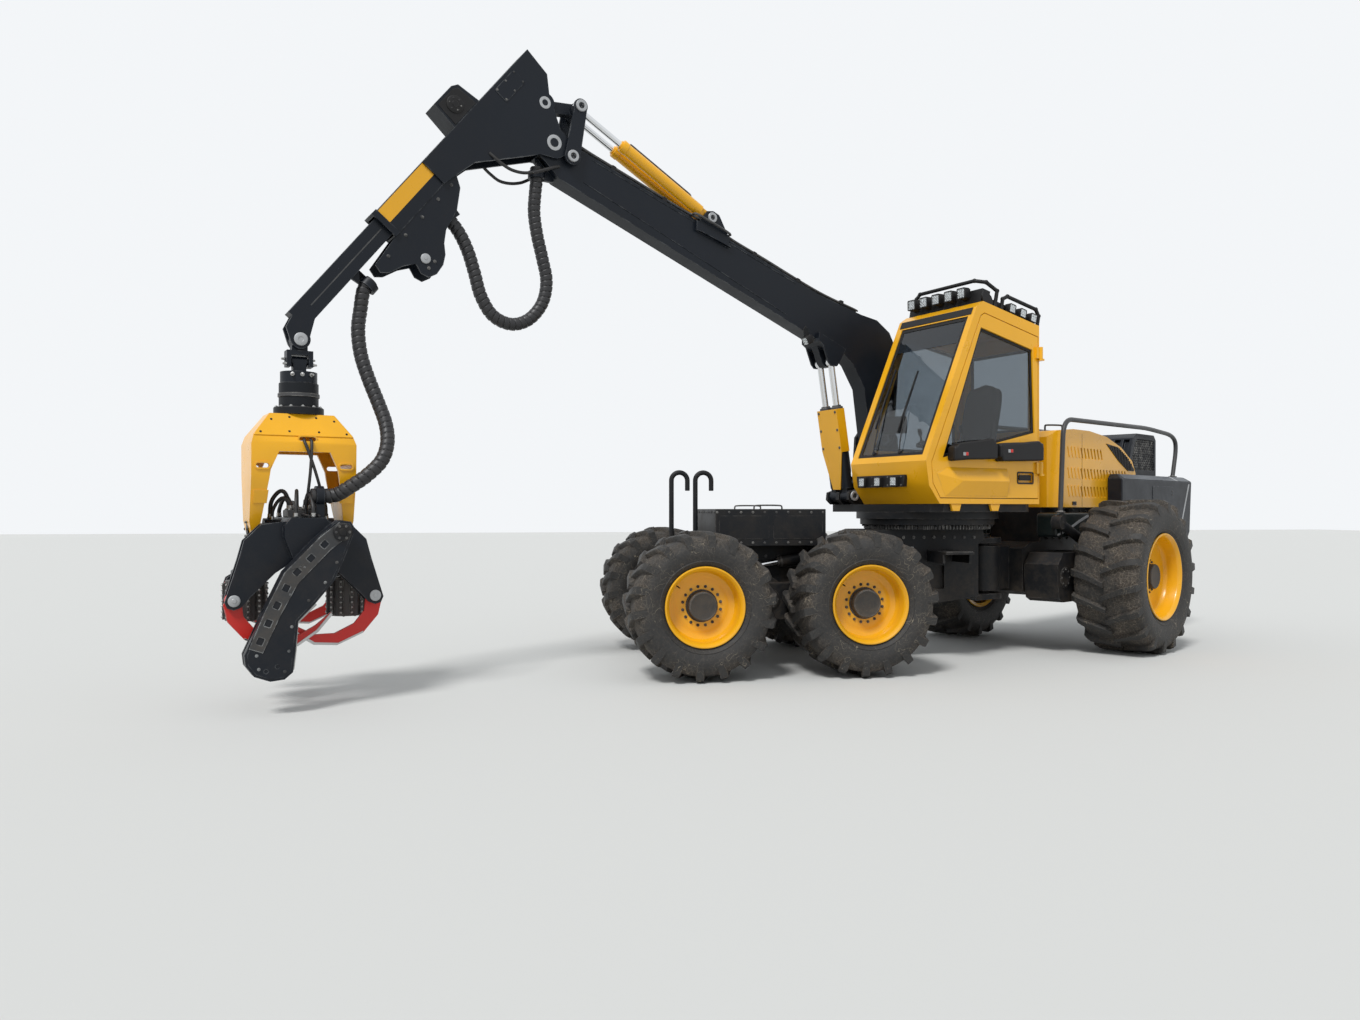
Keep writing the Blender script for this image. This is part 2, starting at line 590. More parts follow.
def tyre_mesh(outer_r, rim_r):
    """Points, faces and mud of one tyre about the Y axis: a revolved section, and lugs that lean back from the
    middle."""
    body_r = outer_r - LUG_H
    half = [(rim_r - 0.018, TYRE_HALF - 0.060), (rim_r + 0.004, TYRE_HALF - 0.053),
            (rim_r + 0.030, TYRE_HALF - 0.030),
            (rim_r + 0.045, TYRE_HALF - 0.019), (rim_r + 0.052, TYRE_HALF - 0.022),
            (rim_r + 0.09, TYRE_HALF - 0.008),
            (body_r - 0.13, TYRE_HALF - 0.001), (body_r - 0.10, TYRE_HALF - 0.004),
            (body_r - 0.055, TYRE_HALF - 0.018),
            (body_r - 0.025, TYRE_HALF - 0.045), (body_r - 0.006, TYRE_HALF - 0.10), (body_r, TYRE_HALF - 0.18)]
    section = np.array(half + [(body_r + 0.002, 0.0)] + [(r, -y) for r, y in half[::-1]])
    steps = 108
    turn = np.linspace(0, 2 * np.pi, steps, endpoint=False)
    ring = np.stack([section[:, 0, None] * np.cos(turn), np.repeat(section[:, 1, None], steps, 1),
                     section[:, 0, None] * np.sin(turn)], -1).reshape(-1, 3)
    here, after, last = np.arange(steps), (np.arange(steps) + 1) % steps, (len(section) - 1) * steps
    bridge = np.stack([here, after, last + after, last + here], -1)
    mud = [np.repeat(np.clip((section[:, 0] - (body_r - 0.09)) / 0.05, 0.25, 1.0), steps)]
    # Lug: t runs from the tread's middle over the shoulder; widths, lean and radius are functions of t
    t = np.linspace(0, 1, 9)
    side = np.interp(t, [0, 0.72, 0.9, 1.0], [-0.012, TYRE_HALF - 0.075, TYRE_HALF - 0.006, TYRE_HALF - 0.002])
    top = np.interp(t, [0, 0.72, 0.9, 1.0], [outer_r - 0.001, outer_r - 0.001, outer_r - 0.040, body_r - 0.10])
    base = np.interp(t, [0, 0.72, 0.9, 1.0], [body_r - 0.02, body_r - 0.02, body_r - 0.06, body_r - 0.13])
    inner = np.interp(t, [0, 0.72, 0.9, 1.0], [-0.012, TYRE_HALF - 0.075, TYRE_HALF - 0.03, TYRE_HALF - 0.03])
    lean = np.interp(t, [0, 0.5, 1.0], [0.066, -0.02, -0.070]) / outer_r
    wide = np.interp(t, [0, 0.5, 1.0], [0.026, 0.032, 0.040]) / outer_r
    rows = []
    for spread, r, y in ((-1.32, base, inner), (-1.0, top - 0.006, side), (-0.86, top, side), (0.86, top, side),
                         (1.0, top - 0.006, side), (1.32, base, inner)):
        angle = lean + spread * wide
        rows.append(np.stack([r * np.sin(angle), y, r * np.cos(angle)], -1))
    lug = np.stack(rows, 1).reshape(-1, 3)
    sides = [*grid_faces(len(t), len(rows), False), *end_caps(len(t), len(rows))]
    parts = [(ring, [*grid_faces(len(section), steps, True), *bridge[:, ::-1]])]
    for s in (0, 1):
        for i in range(LUGS):
            a = (i + s / 2) * 2 * np.pi / LUGS
            c, d = np.cos(a), np.sin(a)
            parts.append((np.stack([lug[:, 0] * c + lug[:, 2] * d, lug[:, 1] * (1 - 2 * s),
                                    -lug[:, 0] * d + lug[:, 2] * c], -1), sides))
            mud.append(np.tile([1.0, 0.75, 0.12, 0.12, 0.75, 1.0], len(t)))
    return *joined(parts), np.concatenate(mud)


def wheel_place(name):
    """Middle of a wheel, with its axle along Y of the frame that carries it."""
    side = 1 if name.endswith("left") else -1
    if name.startswith("rear"):
        return REAR @ shift(-1.280, side * TRACK_HALF, REAR_TYRE[0]), REAR_TYRE, side
    ahead = 0.765 if name.startswith("front") else -0.765
    return FRONT @ shift(ahead, side * TRACK_HALF, FRONT_TYRE[0]), FRONT_TYRE, side


WHEELS = ("front_left", "front_right", "middle_left", "middle_right", "rear_left", "rear_right")
for wheel in WHEELS:
    place, (outer_r, rim_r), side = wheel_place(wheel)
    points, faces, mud = tyre_mesh(outer_r, rim_r)
    tyre = surface_piece("tread_" + wheel, placed(points, place), faces, TYRE_FINISH, "wheel_" + wheel, 40)
    tyre.data.attributes.new("mud", "FLOAT", "POINT").data.foreach_set("value", mud.astype(np.float32))
    outward(tyre)
    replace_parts(tyre, "tyre_" + wheel)
    rim_section = [(0.130, -0.040), (0.180, -0.040), (0.210, -0.022), (rim_r - 0.0423, -0.022),
                   (rim_r - 0.0423, -0.445),
                   (rim_r - 0.006, -0.460), (rim_r, -0.454), (rim_r - 0.002, -0.440), (rim_r - 0.0203, -0.430),
                   (rim_r - 0.0243, -0.375), (rim_r - 0.0243, 0.105), (rim_r - 0.0203, 0.160),
                   (rim_r - 0.002, 0.170),
                   (rim_r, 0.177), (rim_r, 0.184), (rim_r - 0.005, 0.190), (rim_r - 0.013, 0.190),
                   (rim_r - 0.019, 0.183),
                   (rim_r - 0.036, 0.165), (rim_r - 0.0423, 0.150), (rim_r - 0.0423, 0.060), (rim_r - 0.048, 0.035),
                   (rim_r - 0.062, 0.012), (rim_r - 0.092, 0.0), (0.240, 0.0), (0.228, 0.004), (0.156, 0.004),
                   (0.130, 0.004),
                   (0.130, -0.040)]
    out = place @ turned(-side * math.pi / 2, "X") @ shift(0, 0, DISH)
    rim = revolved("rim_skin_" + wheel, rim_section, out, YELLOW, "wheel_" + wheel, 96, False)
    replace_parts(rim, "rim_" + wheel)
    revolved("hub_" + wheel, [(0.149, -0.153), (0.151, -0.150), (0.151, 0.001), (0.146, 0.006), (0.134, 0.007),
                              (0.132, 0.012),
                              (0.132, 0.080), (0.127, 0.088), (0.118, 0.091), (0.110, 0.0875), (0.050, 0.0865),
                              (0.002, 0.0865)],
             out, HUB, "wheel_" + wheel, 72)
    bolts("wheel_nuts_" + wheel, bolt_circle(out, 0.176, 16, 0.0045, math.pi / 16), 0.0095, HUB, "wheel_" + wheel,
          1.5)
    valve = out @ turned(math.radians(-38 if side > 0 else 218), "Z")
    bent_pipe("valve_" + wheel, [(rim_r - 0.060, 0, 0.0), (rim_r - 0.064, 0, 0.030), (rim_r - 0.075, 0, 0.055),
                                 (rim_r - 0.095, 0, 0.085)],
              0.006, valve, PLASTIC, "wheel_" + wheel)


# Front frame: black welded plate on two bogies, with bolted covers, the slewing ring's teeth, tread plates and the
# levelling cylinders' chromed rods. Its covers are cut plates with broken edges.
def plate_mesh(outline, near, far, holes=()):
    """Points and faces of a sheet cut to an outline in X and Z, from near to far along Y, with holes."""
    loops = [outline, *holes]
    flat = np.array([p for loop in loops for p in loop], float)
    n = len(flat)
    fill = [list(t) for t in tessellate_polygon([[Vector((x, z, 0)) for x, z in loop] for loop in loops])]
    points = np.vstack([np.column_stack([flat[:, 0], np.full(n, y), flat[:, 1]]) for y in (near, far)])
    faces = fill + [[k + n for k in t[::-1]] for t in fill]
    start = 0
    for loop in loops:
        faces += [[start + i, start + (i + 1) % len(loop), start + (i + 1) % len(loop) + n, start + i + n]
                  for i in range(len(loop))]
        start += len(loop)
    return points, faces


def cut_plate(name, outline, near, far, place, material, body, round_m=0.003, holes=()):
    """Sheet or plate with holes and broken edges."""
    points, faces = plate_mesh(outline, near, far, holes)
    made = outward(surface_piece(name, placed(points, place), faces, material, body, 30))
    broken_edges(made, round_m, 30)
    return made


def oblong(low, high):
    """Outline of a rectangle between two corners."""
    (a, b), (c, d) = low, high
    return [(a, b), (c, b), (c, d), (a, d)]


def rounded(low, high, r, per=5):
    """Outline of a rectangle with round corners: quarter circles round the four corner centres."""
    (a, b), (c, d) = low, high
    t = np.linspace(0, np.pi / 2, per)
    spots = (((c - r), (d - r), 0), ((a + r), (d - r), 1), ((a + r), (b + r), 2), ((c - r), (b + r), 3))
    return [(x + r * math.cos(q + k * math.pi / 2), z + r * math.sin(q + k * math.pi / 2)) for x, z, k in spots
            for q in t]


for node in ("front_frame", "bogies", "slew_ring", "levelling_cylinders", "front_deck"):
    softened(node, FRAME_BLACK, 0.006)
BOTH = (1, -1)
LEFT_RIGHT = (("left", 1), ("right", -1))
FRAME_SPOTS = [[(x, z) for x in np.arange(*run)] for z, run in ((1.25, (-2.28, -1.15, 0.11)),
                                                                (1.07, (-1.10, 0.72, 0.13)))]
bolts("frame_bolts", [spot for row in FRAME_SPOTS for s in BOTH for spot in on_side(row, 0.330, s, FRONT)], 0.011,
      CAST,
      "front_frame")
for side, s in LEFT_RIGHT:
    hub = facing((0, s * 0.698, FRONT_TYRE[0]), (0, s, 0), FRONT)
    revolved("bogie_pivot_" + side, [(0.105, 0.0), (0.105, 0.006), (0.099, 0.010), (0.060, 0.010), (0.055, 0.007),
                                     (0.004, 0.007)],
             hub, FRAME_BLACK, "front_frame")
    bolts("pivot_bolts_" + side, bolt_circle(hub, 0.080, 6, 0.0095), 0.0075, CAST, "front_frame", 0.7)
    for k, x in enumerate((-1.62, -1.45)):
        cut_plate("blank_tag_%s_%d" % (side, k), rounded((x, 1.10), (x + 0.055, 1.155), 0.027 if k else 0.006),
                  s * 0.330, s * 0.333, FRONT, LIGHT_STRIP, "front_frame", 0.001)

TEETH = 110
turn = np.linspace(0, 2 * np.pi, TEETH * 8, endpoint=False)
tooth = 0.632 + 0.020 * np.clip(0.5 + 1.4 * np.sin(TEETH * turn), 0, 1)
gear = np.concatenate([np.stack([(tooth - cut) * np.cos(turn), (tooth - cut) * np.sin(turn),
                                 np.full(turn.size, z)], -1)
                       for z, cut in ((1.334, 0.006), (1.337, 0.0), (1.374, 0.0), (1.377, 0.006))])
surface_piece("ring_gear", placed(gear, CAB), grid_faces(4, turn.size, True), CAST, "front_frame", 30,
              end_caps(4, turn.size))


def tread_plate(name, low, high, z, place, body):
    """Chequer plate: a grid whose height rises in lozenges that lean left and right by turns, with its rim
    turned down."""
    x, y = np.meshgrid(np.arange(low[0], high[0], 0.0062), np.arange(low[1], high[1], 0.0062), indexing="ij")
    cell = 0.046
    i, j = np.floor(x / cell), np.floor(y / cell)
    lean = np.where((i + j) % 2 == 0, 1, -1)
    a, b = x - (i + 0.5) * cell, y - (j + 0.5) * cell
    u, v = (a + lean * b) / 1.4142, (a - lean * b) / 1.4142
    h = z + 0.0024 * np.clip(2.2 * (1 - (u / 0.024) ** 2 - (v / 0.0085) ** 2), 0, 1)
    x, y, h = np.pad(x, 1, "edge"), np.pad(y, 1, "edge"), np.pad(h, 1, constant_values=z - 0.004)
    return surface_piece(name, placed(np.stack([x, y, h], -1).reshape(-1, 3), place),
                         grid_faces(*x.shape, False)[:, ::-1],
                         CAST, body, 50)


tread_plate("deck_lid", (-0.545, -0.495), (0.435, 0.495), 1.5245, FRONT, "front_frame")
for side, s in LEFT_RIGHT:
    edge = sorted((s * 0.345, s * 0.790))
    tread_plate("step_" + side, (-2.052, edge[0]), (-1.768, edge[1]), 1.1185, FRONT, "front_frame")
    bent_pipe("lid_handle_" + side, [(-0.20, s * 0.42, 1.520), (-0.20, s * 0.42, 1.560), (-0.17, s * 0.42, 1.575),
                                     (0.05, s * 0.42, 1.575),
                                     (0.08, s * 0.42, 1.560), (0.08, s * 0.42, 1.520)], 0.008, FRONT, CAST,
                                     "front_frame")
    for k, (a, b) in enumerate(((-0.575, -0.075), (-0.035, 0.465))):
        cut_plate("deck_panel_%s_%d" % (side, k), rounded((a, 1.245), (b, 1.475), 0.025), s * 0.560, s * 0.564,
                  FRONT,
                  FRAME_BLACK, "front_frame", 0.0015)
    bolts("deck_rivets_" + side, on_side([(x, z) for z in (1.212, 1.508) for x in np.arange(-0.580, 0.49, 0.118)],
                                         0.5605, s, FRONT), 0.0085, CAST, "front_frame", 0.6)
bolts("deck_end_rivets", [facing((0.5005, y, z), (1, 0, 0), FRONT) for z in (1.212, 1.508)
                          for y in np.arange(-0.50, 0.51, 0.125)],
      0.0085, CAST, "front_frame", 0.6)
for k, x in enumerate((0.640, 0.880)):
    base = FRONT @ shift(x, 0.260, 1.180)
    revolved("post_flange_%d" % k, [(0.0245, 0.0), (0.058, 0.0), (0.058, 0.010), (0.054, 0.013), (0.030, 0.013),
                                    (0.0245, 0.030), (0.0245, 0.0)],
             base, FRAME_BLACK, "front_frame", 36, False)
    bolts("post_bolts_%d" % k, bolt_circle(base, 0.044, 4, 0.0125, 0.7), 0.006, CAST, "front_frame")
LEVEL_LOW, LEVEL_HIGH = Vector((0.060, 0, 0.980)), Vector((-0.760, 0, 1.120))
for side, s in LEFT_RIGHT:
    line = facing((LEVEL_LOW.x, s * 0.400, LEVEL_LOW.z), LEVEL_HIGH - LEVEL_LOW, FRONT)
    revolved("level_rod_" + side, [(0.0285, 0.054), (0.0287, 0.056), (0.0287, 0.232), (0.0285, 0.234)], line,
             CHROME, "front_frame", 36)
    revolved("level_gland_" + side, [(0.029, 0.222), (0.042, 0.224), (0.046, 0.230), (0.046, 0.243),
                                     (0.060, 0.246), (0.060, 0.262),
                                     (0.0585, 0.266)], line, CAST, "front_frame", 36)
    bent_pipe("level_pipe_" + side, [(0, 0.040, 0.30), (0.0, 0.066, 0.31), (0, 0.068, 0.40), (0, 0.068, 0.66),
                                     (0, 0.062, 0.72), (0, 0.040, 0.74)],
              0.008, line @ turned(math.pi if s > 0 else 0, "Z"), PLASTIC, "front_frame")

# Rear frame: black arms and frame, tanks with a grey stripe, and the yellow hood over the engine with its louvres,
# black slash vent and bent guard rails.
for node in ("rear_frame", "rear_arms"):
    softened(node, FRAME_BLACK, 0.008)
softened("side_tanks", TANK_GREEN, 0.02)
softened("engine_hood", YELLOW, 0.018)
softened("engine_block", CAST, 0.01)
softened("rear_box", BLUE_BLACK, 0.018)
softened("intake_tower", BLUE_BLACK, 0.016)
BOX_BLUE = finish("sky_blue_black_paint", (0.030, 0.040, 0.054), 0.34, dust=0.12, wear=0.8,
                  worn=(0.16, 0.17, 0.18, 1.0), shine=0.5)
TAIL_RED = finish("tail_lamp_red", (0.40, 0.006, 0.005), 0.14, dust=0.10, wear=0.0, coat=0.8, bump=0.05)
TAIL_BACK = 4.000
LOUVRE_H = 0.125
REAR_SPOTS = [[(x, z) for x in np.arange(*run)] for z, run in ((1.515, (-2.62, -1.50, 0.14)),
                                                               (1.215, (-2.60, -0.55, 0.16)))]
bolts("rear_bolts", [spot for row in REAR_SPOTS for s in BOTH for spot in on_side(row, 0.300, s, REAR)], 0.012,
      CAST,
      "rear_frame")
SWING_LOW, SWING_HIGH = Vector((-1.090, 0, 1.150)), Vector((-0.420, 0, 1.400))
for side, s in LEFT_RIGHT:
    pivot = facing((-0.450, s * 0.696, 0.820), (0, s, 0), REAR)
    revolved("arm_pivot_" + side, [(0.110, 0.0), (0.110, 0.007), (0.104, 0.011), (0.066, 0.011), (0.060, 0.007),
                                   (0.004, 0.007)],
             pivot, FRAME_BLACK, "rear_frame")
    bolts("arm_bolts_" + side, bolt_circle(pivot, 0.086, 8, 0.010), 0.008, CAST, "rear_frame", 0.7)
    line = facing((SWING_LOW.x, s * 0.645, SWING_LOW.z), SWING_HIGH - SWING_LOW, REAR)
    revolved("swing_rod_" + side, [(0.0305, 0.054), (0.0308, 0.056), (0.0308, 0.190), (0.0305, 0.192)], line,
             CHROME, "rear_frame", 36)
    revolved("swing_gland_" + side, [(0.031, 0.186), (0.040, 0.188), (0.048, 0.194), (0.052, 0.199),
                                     (0.052, 0.224), (0.0505, 0.228)],
             line, CAST, "rear_frame", 36)
    cap = REAR @ shift(-1.120, s * 0.420, 1.500)
    revolved("filler_" + side, [(0.036, -0.004), (0.036, 0.016), (0.046, 0.018), (0.048, 0.024), (0.048, 0.042),
                                (0.042, 0.048), (0.004, 0.050)],
             cap, PLASTIC, "rear_frame", 36)
    stripe = [(-0.500, 1.275), (-0.620, 1.300), (-0.800, 1.352), (-1.000, 1.420), (-1.180, 1.470), (-1.300, 1.488),
              (-1.330, 1.474),
              (-1.180, 1.440), (-1.000, 1.388), (-0.800, 1.322), (-0.620, 1.274), (-0.500, 1.255)]
    cut_plate("tank_stripe_" + side, stripe, s * 0.5902, s * 0.5925, REAR, LIGHT_STRIP, "rear_frame", 0.0008)
    for k, x in enumerate((-0.600, -1.280)):
        cut_plate("tank_strap_%s_%d" % (side, k), oblong((x, 1.236), (x + 0.035, 1.503)), s * 0.5902, s * 0.5945,
                  REAR, FRAME_BLACK, "rear_frame", 0.0015)
    slash = [(-1.880, 2.300), (-2.190, 2.272), (-2.440, 2.165), (-2.640, 2.030), (-2.650, 2.000), (-2.470, 2.000),
             (-2.210, 2.110)]
    cut_plate("slash_vent_" + side, slash, s * 0.499, s * 0.507, REAR, PLASTIC, "rear_frame", 0.002)
    fins = []
    for x in np.arange(-1.95, -2.56, -0.042):
        top = np.interp(-x, [1.88, 2.19, 2.44, 2.64], [2.292, 2.264, 2.157, 2.02])
        low = np.interp(-x, [1.88, 2.21, 2.47, 2.65], [2.310, 2.118, 2.008, 2.008])
        if top - low > 0.03:
            fins.append(plate_mesh([(x, low), (x - 0.010, low), (x - 0.026, top), (x - 0.016, top)], s * 0.506,
                                   s * 0.514))
    points, faces = joined(fins)
    outward(surface_piece("slash_fins_" + side, placed(points, REAR), faces, PLASTIC, "rear_frame", 30))
    for k, z in enumerate((2.110, 1.880, 1.680)):
        points, faces = joined([plate_mesh([(x, z), (x - 0.030, z + 0.01), (x + 0.010, z + LOUVRE_H),
                                            (x + 0.040, z + LOUVRE_H - 0.01)], s * 0.499, s * 0.5055)
                                for x in np.arange(-0.960, -1.24, -0.082)])
        outward(surface_piece("blind_louvres_%s_%d" % (side, k), placed(points, REAR), faces, YELLOW, "rear_frame",
                              30))
    cut_plate("hood_seam_" + side, oblong((-1.266, 1.565), (-1.272, 2.385)), s * 0.4996, s * 0.5008, REAR, PLASTIC,
              "rear_frame", 0)
    cut_plate("hood_latch_" + side, rounded((-1.12, 1.585), (-1.03, 1.625), 0.010), s * 0.500, s * 0.508, REAR,
              PLASTIC, "rear_frame", 0.002)
    cut_plate("box_stripe_" + side, [(-3.880, 1.860), (-3.920, 1.860), (-3.700, 1.400), (-3.660, 1.400)],
              s * 0.6802, s * 0.6825, REAR,
              LIGHT_STRIP, "rear_frame", 0.0008)
    cut_plate("box_door_" + side, rounded((-3.380, 1.300), (-2.760, 1.820), 0.030), s * 0.6802, s * 0.6855, REAR,
              BLUE_BLACK, "rear_frame", 0.002)
    cut_plate("box_latch_" + side, rounded((-2.860, 1.530), (-2.800, 1.600), 0.012), s * 0.6855, s * 0.693, REAR,
              PLASTIC, "rear_frame", 0.002)
    bolts("box_hinges_" + side, on_side([(-3.350, z) for z in (1.36, 1.40, 1.72, 1.76)], 0.6855, s, REAR), 0.008,
          CAST,
          "rear_frame", 0.8)


def woven_mesh(name, front, back, low, high, y, body):
    """Wire cloth over a sloping window: level and upright wires that pass over and under by a sine of their
    length."""
    pitch, r = 0.030, 0.0032
    lines = [[(front(z), z), (back, z)] for z in np.arange(low + pitch, high, pitch)]
    xs = np.arange(back + pitch, front(low), pitch)
    top = [min(high, low + (front(low) - x) / max(1e-6, front(low) - front(high)) * (high - low)) for x in xs]
    lines += [[(x, low), (x, t)] for x, t in zip(xs, top) if t - low > 0.05]
    wires = []
    for a, b in lines:
        a, b = np.array(a), np.array(b)
        n = max(3, int(np.linalg.norm(b - a) / 0.0075))
        flat = a + (b - a) * np.linspace(0, 1, n)[:, None]
        over = 1 if abs(a[1] - b[1]) < 1e-6 else -1
        wave = 0.0034 * np.sin(np.pi * (flat @ np.array([1.0, 1.0])) / pitch) * over
        wires.append((tube_points(np.column_stack([flat[:, 0], y + wave, flat[:, 1]]), r, 5),
                      grid_faces(n, 5, True)))
    points, faces = joined(wires)
    return outward(surface_piece(name, placed(points, REAR), faces, RAIL_GREY, body, 80))


def bent_tube(name, corners, reach, r, place, material, body, sides=20):
    """A tube in straight runs, each corner eased by a quadratic arc between the points a reach away from it."""
    p = np.array(corners, float)
    run = [p[0]]
    t = np.linspace(0, 1, 11)[:, None]
    for a, b, c in zip(p[:-2], p[1:-1], p[2:]):
        u = b + (a - b) * min(0.45, reach / np.linalg.norm(a - b))
        v = b + (c - b) * min(0.45, reach / np.linalg.norm(c - b))
        run += list((1 - t) ** 2 * u + 2 * t * (1 - t) * b + t ** 2 * v)
    run = np.array(run + [p[-1]])
    far = np.concatenate([[0], np.cumsum(np.linalg.norm(np.diff(run, axis=0), axis=1))])
    even = np.linspace(0, far[-1], int(far[-1] / 0.018))
    path = np.column_stack([np.interp(even, far, run[:, k]) for k in range(3)])
    return pipe_along(name, path, r, place, material, body, sides)


RAIL_PATH = ((-0.640, 1.500), (-0.714, 2.515), (-2.900, 2.532), (-3.680, 2.486), (-3.836, 2.372), (-3.700, 1.9505))
for side, s in LEFT_RIGHT:
    rail = bent_tube("guard_rail_" + side, [(x, s * 0.554, z) for x, z in RAIL_PATH], 0.20, 0.026, REAR, RAIL_GREY,
                     "rear_frame")
    if s > 0:
        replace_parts(rail, "guard_rails")
    for k, (x, z) in enumerate(((-0.640, 1.5003), (-3.700, 1.9503))):
        revolved("rail_foot_%s_%d" % (side, k), [(0.050, 0.0), (0.050, 0.009), (0.046, 0.012), (0.032, 0.012),
                                                 (0.0265, 0.024), (0.0265, 0.0), (0.050, 0.0)],
                 REAR @ shift(x, s * 0.554, z), RAIL_GREY, "rear_frame", 36, False)
    # Lighter band along the box's sloping edge, with a pale diagonal strip
    slope = REAR @ shift(0, s * 0.640, 1.919) @ turned(s * math.atan2(80, 62), "X")
    lamp_at = facing((-TAIL_BACK + 0.0168, s * 0.520, 1.720), (-1, 0, -0.092), REAR)
    cut_plate("box_band_" + side, [(-3.900, -0.044), (-1.975, -0.044), (-1.975, 0.044), (-3.885, 0.044)],
              s * 0.0004, s * 0.0030, slope, BOX_BLUE,
              "rear_frame", 0.001)
    cut_plate("band_strip_" + side, [(-3.560, -0.044), (-3.500, -0.044), (-3.420, 0.044), (-3.480, 0.044)],
              s * 0.0031, s * 0.0042, slope, LIGHT_STRIP,
              "rear_frame", 0.0005)
    revolved("tail_lamp_" + side, [(0.052, 0.0), (0.052, 0.016), (0.047, 0.022), (0.030, 0.026), (0.002, 0.028)],
             lamp_at, TAIL_RED, "rear_frame", 40)
    revolved("tail_ring_" + side, [(0.053, 0.0), (0.064, 0.0), (0.064, 0.018), (0.053, 0.018), (0.053, 0.0)],
             lamp_at, PLASTIC, "rear_frame", 40, False)


def tower_front(z):
    """The intake tower's sloping front: its x at a height."""
    return -2.790 if z < 2.11 else -2.790 - (z - 2.11) * 0.4615


for side, s in LEFT_RIGHT:
    woven_mesh("intake_mesh_" + side, tower_front, -3.478, 2.032, 2.408, s * 0.400, "rear_frame")
    bent_pipe("hood_grab_" + side, [(x, s * 0.30, z) for x, z in ((-0.80, 2.402), (-0.80, 2.450), (-0.84, 2.468),
              (-1.16, 2.484), (-1.20, 2.470), (-1.20, 2.424))], 0.010, REAR, PLASTIC, "rear_frame")

# Turntable and cab: yellow shell on black turntable, rubber-set smoked panes, lamps on the roof and under the
# windscreen, black pods on the door, and the seat and controls inside.
softened("turntable", FRAME_BLACK, 0.008)
softened("cab_shell", YELLOW, 0.012)
softened("cab_door", YELLOW, 0.008)
softened("door_pods", PLASTIC, 0.018)
softened("roof_guard", PLASTIC, 0.006)
dressed("cab_glass", SMOKED)
dressed("door_glass", SMOKED)
ROOF = CAB @ shift(0.060, 0, 3.590) @ turned(-math.atan2(180, 860), "Y")
SCREEN = CAB @ shift(0.830, 0, 2.000) @ turned(-math.atan2(680, 1530), "Y")
REFLECTOR = finish("lamp_reflector", (0.85, 0.86, 0.87), 0.16, dust=0.02, wear=0.0, metal=1.0, bump=0.02)
YZ = Matrix(((0, 1, 0, 0), (1, 0, 0, 0), (0, 0, 1, 0), (0, 0, 0, 1)))
XZ = Matrix(((1, 0, 0, 0), (0, 0, 1, 0), (0, 1, 0, 0), (0, 0, 0, 1)))
BOWL = ((0.0125, 0.0), (0.0125, 0.0055), (0.0105, 0.0055), (0.005, 0.0015), (0.0005, 0.0030))


def work_lamp(name, at, half, body):
    """A square lamp along its own Y: a case with fins, a bezel, nine bowls on a bright board, and a clear cover."""
    frame_out, frame_in = (rounded((-h, -h), (h, h), r) for h, r in ((half, 0.014), (half - 0.009, 0.008)))
    cut_plate(name + "_case", frame_out, -0.058, 0.0, at, PLASTIC, body, 0.004)
    cut_plate(name + "_bezel", frame_out, 0.0002, 0.011, at, PLASTIC, body, 0.002, [frame_in[::-1]])
    for k in range(5):
        x = half * (k - 2) * 0.42
        cut_plate("%s_fin_%d" % (name, k), oblong((x - 0.003, -half * 0.8), (x + 0.003, half * 0.8)), -0.076,
                  -0.0575,
                  at, PLASTIC, body, 0.001)
    cut_plate(name + "_board", frame_in, 0.0003, 0.0018, at, REFLECTOR, body, 0.0005)
    bowl, faces = turned_mesh(BOWL, 16)
    spots = [at @ shift(x * half * 0.56, 0.0018, z * half * 0.56) @ XZ for x in (-1, 0, 1) for z in (-1, 0, 1)]
    points, faces = joined([(placed(bowl, m), faces) for m in spots])
    outward(surface_piece(name + "_bowls", points, faces, REFLECTOR, body, 40))
    cut_plate(name + "_cover", frame_in, 0.0082, 0.0100, at, LENS, body, 0.0006)


for k, y in enumerate((-0.110, 0.065, 0.240, 0.415, 0.590)):
    work_lamp("roof_lamp_%d" % k, ROOF @ shift(0.062, y, 0.104) @ turned(math.radians(13), "Y") @ YZ, 0.055,
              "turntable")
for k, x in enumerate((-0.740, -0.580, -0.420)):
    work_lamp("side_lamp_%d" % k, ROOF @ shift(x, 0.831, 0.056), 0.046, "turntable")
for k, y in enumerate((-0.020, 0.210, 0.440)):
    work_lamp("low_lamp_%d" % k, CAB @ shift(0.871, y, 1.812) @ YZ, 0.048, "turntable")
cut_plate("lamp_shelf", [(-0.118, 1.7565), (0.538, 1.7565), (0.560, 1.8400), (0.560, 1.8740), (-0.135, 1.8740),
                         (-0.135, 1.8400)],
          0.7895, 0.8425, CAB @ YZ, PLASTIC, "turntable", 0.004)
cut_plate("screen_header", oblong((-0.200, 1.590), (0.800, 1.668)), 0.0004, 0.0060, SCREEN @ YZ, PLASTIC,
          "turntable", 0.002)
bolts("lamp_box_bolts", [facing((0.8425, y, z), (1, 0, 0), CAB) for y in (-0.095, 0.095, 0.325, 0.515)
                         for z in (1.775, 1.855)],
      0.006, CAST, "turntable")
cut_plate("roof_bracket", [(-0.150, 0.002), (-0.030, 0.002), (0.010, 0.060), (0.000, 0.120), (-0.040, 0.128),
                           (-0.120, 0.090), (-0.160, 0.040)],
          0.806, 0.822, ROOF, PLASTIC, "turntable", 0.003)
cut_plate("roof_hatch", rounded((-0.640, -0.060), (-0.180, 0.500), 0.060), 0.0004, 0.018, ROOF @ XZ, BLUE_BLACK,
          "turntable", 0.006)


